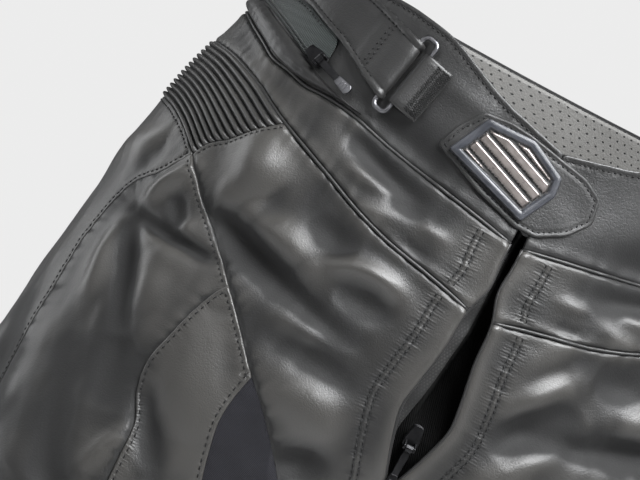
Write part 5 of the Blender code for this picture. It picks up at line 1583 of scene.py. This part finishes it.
def plate_height(points):
    """Raised border, sunk field with plain straight bars."""
    gap = inside_far(points, plate_loop)[1]
    rim = edge_drop(gap, 0.8 * MM)
    border = eased(np.clip((BORDER_WIDE - gap) / (0.6 * MM), 0, 1))
    field = np.clip((gap - 4.9 * MM) / (0.7 * MM), 0, 1)
    return (PLATE_LOW + PLATE_THICK - 1.5 * MM * rim - 1.5 * MM * (1 - border)
            + 1.35 * MM * field * plate_bars(points) + 0.2 * MM * bell(gap, 2.1 * MM, MM))


def gap_start(z):
    """Where the open gap begins across the underlap."""
    return np.interp(z, [-0.158, -0.130, -0.100], [-0.0095, -0.0045, -0.0010])


def gap_depth(points):
    """0 where the underlap lies flat, 1 in the open gap on the wearer's left."""
    x, z = points.T
    deep = np.clip((x - gap_start(z)) / (6 * MM), 0, 1) * np.clip((z + 0.162) / 0.034, 0, 1)**0.7
    return eased(deep)


def underlap_out(points):
    """Outer face of the underlap: it dips behind the zip and falls away in the gap."""
    x, z = points.T
    dip = bell(x, 0, 0.011)
    p3 = np.stack([x * 2, z, 0 * x], -1)
    return (-(WALL + LINE_GAP) - UNDERLAP_DIP * dip - 16 * MM * gap_depth(points)
            + 0.8 * MM * waves(p3, 0.024, 17) - 0.8 * MM)


UNDERLAP_THICK, UNDERLAP_DIP = 1.6 * MM, 4.0 * MM
TAPE_SEAM = 0.7 * MM         # the near-black tape, partly a real zip tape and partly painted shade for the open gap, starts this far inside the gap
TAPE_START = -0.056          # and covers the underlap above this height, painted shade behind the waist

flat, faces = tiled(tab_loop, 2.2 * MM, (0.3, 0.8, 1.5))
piece = shell("waist_tab_shell", flat, faces, centre_place, tab_height, LAY_GAP, TRIM_LEATHER,
              False)
keep(piece, ["waist_tab"], "leather")
as_sheet(piece, tab_loop)

flat, faces = tiled(plate_loop, 1.0 * MM, (0.25, 0.55, 0.9))
plate = shell("waist_plate_face", flat, faces, centre_place, plate_height, PLATE_LOW,
              PLATE_RUBBER, False)
keep(plate, ["waist_plate"], "rubber_plate")
plate.data.materials.append(PLATE_FIELD)
# The sunk field between the bars is coloured near-black.
plate.data.materials.append(RECESS_BLACK)
uvs = plate.data.uv_layers["uv"].data
first_uv = np.array([uvs[f.loop_start].uv for f in plate.data.polygons])
gap = inside_far(first_uv, plate_loop)[1]
on_bar = (gap > 5.0 * MM) & (plate_bars(first_uv) > 0.5)
plate.data.polygons.foreach_set(
    "material_index", np.where(on_bar, 1, np.where(gap > BORDER_WIDE, 2, 0)).astype(np.int32))

z = np.arange(-0.193, -0.045, 1.3 * MM)
tape_edge = np.stack([gap_start(z) + TAPE_SEAM, z], -1)
flat, faces = tiled(underlap_loop, 1.8 * MM, (0.5, 1.5), [tape_edge])
piece = shell("fly_underlap_shell", flat, faces, centre_place, underlap_out,
              lambda p: underlap_out(p) - UNDERLAP_THICK, LEATHER, False)
spot = np.stack([flat[:, 0], flat[:, 1], 0 * flat[:, 0]], -1)
mark(piece, tone=0.60 + 0.2 * waves(spot, 0.03, 4))
# Painted shade: faces in the open gap and at the top of the underlap get the nearly black tape.
piece.data.materials.append(FLY_TAPE_SHADE)
uvs = piece.data.uv_layers["uv"].data
middle = np.array([c.uv for c in uvs]).reshape(-1, 3, 2).mean(axis=1)
in_gap = (middle[:, 0] > gap_start(middle[:, 1]) + TAPE_SEAM) | (middle[:, 1] > TAPE_START)
piece.data.polygons.foreach_set("material_index", in_gap.astype(np.int32))
keep(piece, ["fly_underlap"], "leather")
as_sheet(piece, underlap_loop)


def centre_row(loop, gap, high, pitch):
    """Stitches inside an outline across the centre front."""
    line = drawn_in(loop, gap)
    line = np.concatenate([line, line[:1]])
    points = centre_place(line, high(line))
    ups = unit(centre_place(line, high(line) + MM) - points)
    return row_of_stitches(points, ups, pitch)


tab_row = centre_row(tab_loop, TAB_ROW, tab_height, 2.9 * MM)
keep(new_mesh("tab_stitching", *tab_row, THREAD), [], "leather")


# Perforated lining inside the back of the waist, and the leather that binds its top
LINING_U, LINING_TOP, LINING_LOW, LINING_THICK = 0.62, 0.039, -0.020, 1.4 * MM
LINING_COLUMNS, LINING_ROWS = 161, 25


def lining_points(share, z, out):
    """Points across the back of the waist; share runs from -1 to 1."""
    u = 1 - np.abs(share) * (1 - LINING_U)
    p = lifted(u, z, out, 1)
    p[:, 0] *= np.where(share < 0, 1, -1)
    return p


share = np.linspace(-1, 1, LINING_COLUMNS)
S, Z = np.meshgrid(share, np.linspace(LINING_TOP, LINING_LOW, LINING_ROWS))
S, Z = S.ravel(), Z.ravel()
p3 = np.stack([S * 0.2, Z, 0 * S], -1)
dent = -0.25 * MM + 0.22 * MM * waves(p3, 0.03, 41)
outer = lining_points(S, Z, np.full(len(S), -(WALL + LINE_GAP)))
inner = lining_points(S, Z, dent - (WALL + LINE_GAP + LINING_THICK))
faces = two_faced(grid_faces(LINING_ROWS, LINING_COLUMNS), len(S))
uv = np.stack([S * (1 - LINING_U) * HALF_ROUND, Z], -1)
piece = new_mesh("waist_lining_shell", np.concatenate([outer, inner]), faces, LINING,
                 np.concatenate([uv, uv]))
keep(piece, ["waist_lining"], "perforated_lining")
as_sheet(piece, uv)

top_edge = LINES["top"][0]
bind_z = np.interp(1 - np.abs(share) * (1 - LINING_U), top_edge[:, 0], top_edge[:, 1])
for drop, radius, name in ((2.6, 1.25, "upper"), (6.4, 0.55, "lower")):
    binding_z = bind_z - drop * MM
    points = lining_points(share, binding_z, np.full(LINING_COLUMNS, -(WALL + 0.9 * MM)))
    deeper = lining_points(share, binding_z, np.full(LINING_COLUMNS, -(WALL + 2.9 * MM)))
    binding = rope(points, unit(deeper - points), radius * MM, 10)
    keep(new_mesh(f"waist_binding_{name}", *binding, TRIM_LEATHER), [], "leather")


# Zip sliders and pulls, each in its own frame: along the pull, across, out
SLIDER_LONG, SLIDER_WIDE, SLIDER_TALL = 12 * MM, 8.0 * MM, 3.2 * MM
PIN = 0.9 * MM
EYE_HOLE, EYE_OUT = 1.2 * MM, 2.2 * MM
PULL_WIDE, PULL_THICK, PULL_LONG = 6.4 * MM, 1.6 * MM, 25 * MM
EYE_WIDE, POST_WIDE = 3.6 * MM, 1.2 * MM
PIN_RISE = EYE_OUT + 0.4 * MM
BASE_H = LAY_GAP + TAPE_THICK + 0.7 * MM
FLY_BASE = -(WALL + LINE_GAP + UNDERLAP_DIP) + 1.2 * MM


def local_frame(origin, tip, normal):
    """Directions along a pull, across it and out."""
    along = tip - origin
    along -= normal * (along @ normal)
    along /= np.linalg.norm(along)
    return along, np.cross(normal, along), normal


def bevelled(name, blocks, origin, axes, finish, width):
    """Closed prisms with rounded edges; each block is an outline, its axis and its ends."""
    bm = bmesh.new()
    for outline, axis, low, high in blocks:
        rows = []
        for end in (low, high):
            for p, q in outline:
                rows.append((p, q, end) if axis == "out" else (p, end, q))
        verts = [bm.verts.new(origin + axes[0] * a + axes[1] * y + axes[2] * h)
                 for a, y, h in rows]
        n = len(outline)
        bm.faces.new(verts[:n])
        bm.faces.new(verts[n:][::-1])
        for k in range(n):
            bm.faces.new((verts[k], verts[n + k], verts[n + (k + 1) % n], verts[(k + 1) % n]))
    bmesh.ops.recalc_face_normals(bm, faces=bm.faces)
    sharp = [e for e in bm.edges if e.calc_face_angle(0) > 0.6]
    bmesh.ops.bevel(bm, geom=sharp, offset=width, segments=3, profile=0.5, affect="EDGES",
                    clamp_overlap=True)
    bmesh.ops.triangulate(bm, faces=bm.faces)
    mesh = bpy.data.meshes.new(name)
    bm.to_mesh(mesh)
    bm.free()
    mesh.polygons.foreach_set("use_smooth", np.ones(len(mesh.polygons), bool))
    mesh.set_sharp_from_angle(angle=0.7)
    ob = bpy.data.objects.new(name, mesh)
    bpy.context.scene.collection.objects.link(ob)
    mesh.materials.append(finish)
    return ob


def mirrored(half):
    """An outline and its mirror image, as one."""
    return half + [(a, -y) for a, y in half[::-1]]


def circle(radius, count, out=0.0):
    return [(radius * np.cos(TURN * k / count), out + radius * np.sin(TURN * k / count))
            for k in range(count)]


def zip_slider(name, node, origin, axes, base, pin_h):
    """Two plates on a core, two cheeks and the pin of the pull."""
    top = base + SLIDER_TALL
    half = SLIDER_WIDE / 2
    plan = mirrored([(1.0 * MM, 1.6 * MM), (0.4 * MM, half - 0.6 * MM), (-1.0 * MM, half),
                     (-4.5 * MM, half), (-8.0 * MM, half - 0.7 * MM),
                     (-SLIDER_LONG + 0.6 * MM, half - 1.3 * MM), (-SLIDER_LONG, 1.2 * MM)])
    core = mirrored([(0.0, 0.9 * MM), (-3.0 * MM, 1.6 * MM), (-6.0 * MM, 0.8 * MM)])
    inner = EYE_WIDE / 2 + 0.3 * MM
    cheek = [(-3.4 * MM, top - 0.4 * MM), (1.0 * MM, top - 0.6 * MM), (1.3 * MM, pin_h + 0.5 * MM),
             (0.5 * MM, pin_h + 1.3 * MM), (-1.4 * MM, pin_h + 1.3 * MM)]
    blocks = [(plan, "out", base, base + 0.9 * MM), (plan, "out", top - 1.1 * MM, top),
              (core, "out", base + 0.7 * MM, top - 0.9 * MM),
              (cheek, "across", inner, inner + POST_WIDE),
              (cheek, "across", -inner - POST_WIDE, -inner),
              (circle(PIN, 16, pin_h), "across", -inner - 0.4 * MM, inner + 0.4 * MM)]
    keep(bevelled(name, blocks, origin, axes, BLACK_METAL, 0.28 * MM), [node], "zip_metal")


def zip_pull(name, node, body, origin, axes, pin_h, drop, end_finish):
    """Eye and stem, then a heavier end."""
    along, across, out = axes
    tilt = np.arcsin(drop / PULL_LONG)
    tilted = (along * np.cos(tilt) - out * np.sin(tilt), across,
              out * np.cos(tilt) + along * np.sin(tilt))
    pin = origin + out * pin_h
    half = PULL_THICK / 2
    w0, w1 = EYE_WIDE / 2, PULL_WIDE / 2
    eye = circle(EYE_OUT, 20)
    hole = circle(EYE_HOLE, 20)
    blocks = [([hole[k], eye[k], eye[k - 19], hole[k - 19]], "across", -w0, w0) for k in range(20)]
    stem = mirrored([(EYE_HOLE + 0.6 * MM, w0), (EYE_OUT + 1.2 * MM, w0),
                     (EYE_OUT + 2.6 * MM, w1 - 1.2 * MM), (16.5 * MM, w1 - 1.5 * MM)])
    eye_ob = bevelled(f"{name}_eye", blocks, pin, tilted, BLACK_METAL, 0.0)
    bm = bmesh.new()
    bm.from_mesh(eye_ob.data)
    bmesh.ops.remove_doubles(bm, verts=bm.verts, dist=1e-6)
    inner = [f for f in bm.faces if len([e for e in f.edges if len(e.link_faces) > 2]) == 3]
    bmesh.ops.delete(bm, geom=inner, context="FACES_ONLY")
    bm.to_mesh(eye_ob.data)
    bm.free()
    keep(eye_ob, [node], "pull_metal" if end_finish is BRIGHT_METAL else "zip_metal", body)
    keep(bevelled(f"{name}_stem", [(stem, "out", -half, half)], pin, tilted, BLACK_METAL,
                  0.35 * MM), [], "zip_metal", body)
    w1 -= 0.5 * MM
    end = mirrored([(15.0 * MM, w1 - 0.8 * MM), (16.5 * MM, w1 - 0.4 * MM),
                    (PULL_LONG - 1.6 * MM, w1), (PULL_LONG - 0.4 * MM, w1 - 0.9 * MM),
                    (PULL_LONG, w1 - 2.0 * MM)])
    groove = [((18.0 + 1.8 * k) * MM, (18.9 + 1.8 * k) * MM) for k in range(3)]
    bars = [(end, "out", -half - 0.25 * MM, half + 0.25 * MM)]
    for a, b in groove:
        bars.append((mirrored([(a, w1 - 1.2 * MM), (b, w1 - 1.2 * MM)][::-1]), "out",
                     -half - 0.5 * MM, half + 0.5 * MM))
    keep(bevelled(f"{name}_end", bars, pin, tilted, end_finish, 0.3 * MM), [],
         "pull_metal" if end_finish is BRIGHT_METAL else "zip_metal", body)


SLIDER_AT, PULL_TO = (0.232, -0.0165), (0.175, -0.0245)      # (u, z) of the pocket zips
FLY_SLIDER_Z, FLY_PULL_Z = -0.166, -0.200

for word, side in SIDES:
    here, there = (np.array(spot)[:, None] for spot in (SLIDER_AT, PULL_TO))
    origin = lifted(*here, np.zeros(1), side)[0]
    tip = lifted(*there, np.zeros(1), side)[0]
    normal = outward(*here)[0] * (side, 1, 1)
    axes = local_frame(origin, tip, normal)
    if side == -1:
        axes = (axes[0], -axes[1], axes[2])
    pin_h = BASE_H + SLIDER_TALL + PIN_RISE
    zip_slider(f"pocket_slider_{word}_body", f"pocket_slider_{word}", origin, axes, BASE_H, pin_h)
    zip_pull(f"pocket_pull_{word}", f"pocket_pull_{word}", f"pull_{word}", origin, axes, pin_h,
             2.4 * MM, BRIGHT_METAL)

fly_at = np.array([(0.0, FLY_SLIDER_Z)])
fly_origin = centre_place(fly_at, np.zeros(1))[0]
fly_tip = centre_place(np.array([(0.0, FLY_PULL_Z)]), np.zeros(1))[0]
fly_out = outward(np.array([1e-5]), fly_at[:, 1])[0] * (0, 1, 1)
fly_out /= np.linalg.norm(fly_out)
fly_axes = local_frame(fly_origin, fly_tip, fly_out)
fly_pin = FLY_BASE + SLIDER_TALL + PIN_RISE
zip_slider("fly_slider_body", "fly_slider", fly_origin, fly_axes, FLY_BASE, fly_pin)
zip_pull("fly_pull", "fly_pull", "pull_fly", fly_origin, fly_axes, fly_pin, -1.0 * MM, BLACK_METAL)


# Floor, light and camera

FLOOR_HALF, FLOOR_LINES, FLOOR_DROP = 4.0, 9, 0.02       # in metres
floor_grid = np.linspace(-FLOOR_HALF, FLOOR_HALF, FLOOR_LINES)
FX, FY = np.meshgrid(floor_grid, floor_grid)
verts = np.stack([FX.ravel(), FY.ravel(), np.full(FX.size, HEM_Z - FLOOR_DROP)], -1)
i, j = np.meshgrid(np.arange(FLOOR_LINES - 1), np.arange(FLOOR_LINES - 1), indexing="ij")
a = (i * FLOOR_LINES + j).ravel()
faces = np.stack([a, a + 1, a + FLOOR_LINES + 1, a + FLOOR_LINES], -1)
# To the camera the floor is mostly an even pale glow, so that it stays light behind the piece
pale = Finish("pale floor", Roughness=0.8)
pale.surface(pale.colours(pale.noise(pale.place(), 3.0), (0.86, 0.86, 0.86), (0.90, 0.90, 0.90)))
floor = new_mesh("floor", verts, faces, pale.material)
glow = pale.node("ShaderNodeEmission", {}, {"Color": (0.84, 0.84, 0.84, 1), "Strength": 0.85})
seen = pale.node("ShaderNodeLightPath", {}, {})
glow_share = Amount(pale, seen.outputs["Is Camera Ray"]) * 0.7
plain = pale.node("ShaderNodeMixShader", {},
                  {0: glow_share, 1: pale.shader.outputs[0], 2: glow.outputs[0]})
pale.tree.links.new(plain.outputs[0], pale.tree.nodes["Material Output"].inputs["Surface"])
floor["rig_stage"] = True

# The studio is white to the eye and gives a dim, even light
world = bpy.data.worlds.new("studio")
world.use_nodes = True
tree = world.node_tree
seen = tree.nodes.new("ShaderNodeLightPath")
mixed = tree.nodes.new("ShaderNodeMixShader")
dim = tree.nodes["Background"]
dim.inputs["Color"].default_value = (0.95, 0.97, 1, 1)
dim.inputs["Strength"].default_value = 0.03
white = tree.nodes.new("ShaderNodeBackground")
white.inputs["Strength"].default_value = 1.05
tree.links.new(seen.outputs["Is Camera Ray"], mixed.inputs[0])
tree.links.new(dim.outputs[0], mixed.inputs[1])
tree.links.new(white.outputs[0], mixed.inputs[2])
tree.links.new(mixed.outputs[0], tree.nodes["World Output"].inputs["Surface"])
bpy.context.scene.world = world
bpy.context.scene.view_settings.view_transform = "Standard"


def softbox(name, at, aim, size, power):
    """A soft rectangular light; size in metres, power in watts."""
    light = bpy.data.lights.new(name, "AREA")
    light.color = (0.975, 0.985, 1.0)
    light.shape, light.energy = "RECTANGLE", power
    light.size, light.size_y = size
    ob = bpy.data.objects.new(name, light)
    bpy.context.scene.collection.objects.link(ob)
    at, aim = Vector(at), Vector(aim)
    turn = (aim - at).to_track_quat("-Z", "Y").to_matrix().to_4x4()
    ob.matrix_world = Matrix.Translation(at) @ turn
    ob["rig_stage"] = True


softbox("key", (0.28, -0.98, 1.05), (-0.05, -0.1, -0.1), (1.0, 1.0), 66)
softbox("left", (-1.15, -1.20, 0.55), (-0.087, -0.1, -0.1), (1.4, 1.4), 6)
softbox("right", (1.15, -1.25, 0.15), (-0.05, -0.1, -0.15), (0.9, 1.6), 4)
softbox("back", (0.75, 1.7, 0.9), (0, 0, -0.2), (1.4, 1.4), 22)
softbox("rim", (-1.35, 0.50, -0.05), (-0.1, 0.0, -0.1), (0.9, 1.4), 11)

camera = bpy.data.cameras.new("camera")
camera.lens, camera.sensor_width, camera.clip_start = 129.375, 36, 0.05
view = bpy.data.objects.new("camera", camera)
bpy.context.scene.collection.objects.link(view)
azimuth, height, roll, distance = np.radians(-6), np.radians(2), np.radians(28), 1.15
target = np.array([-0.087, -0.105, -0.095])
back = np.array([np.sin(azimuth) * np.cos(height), -np.cos(azimuth) * np.cos(height),
                 np.sin(height)])
right = np.cross(-back, (0, 0, 1))
right /= np.linalg.norm(right)
up = np.cross(right, -back)
across = right * np.cos(roll) + up * np.sin(roll)
upright = -right * np.sin(roll) + up * np.cos(roll)
where = target + back * distance
pose = np.eye(4)
pose[:3] = np.stack([across, upright, back, where], 1)
view.matrix_world = Matrix(pose)
bpy.context.scene.camera = view
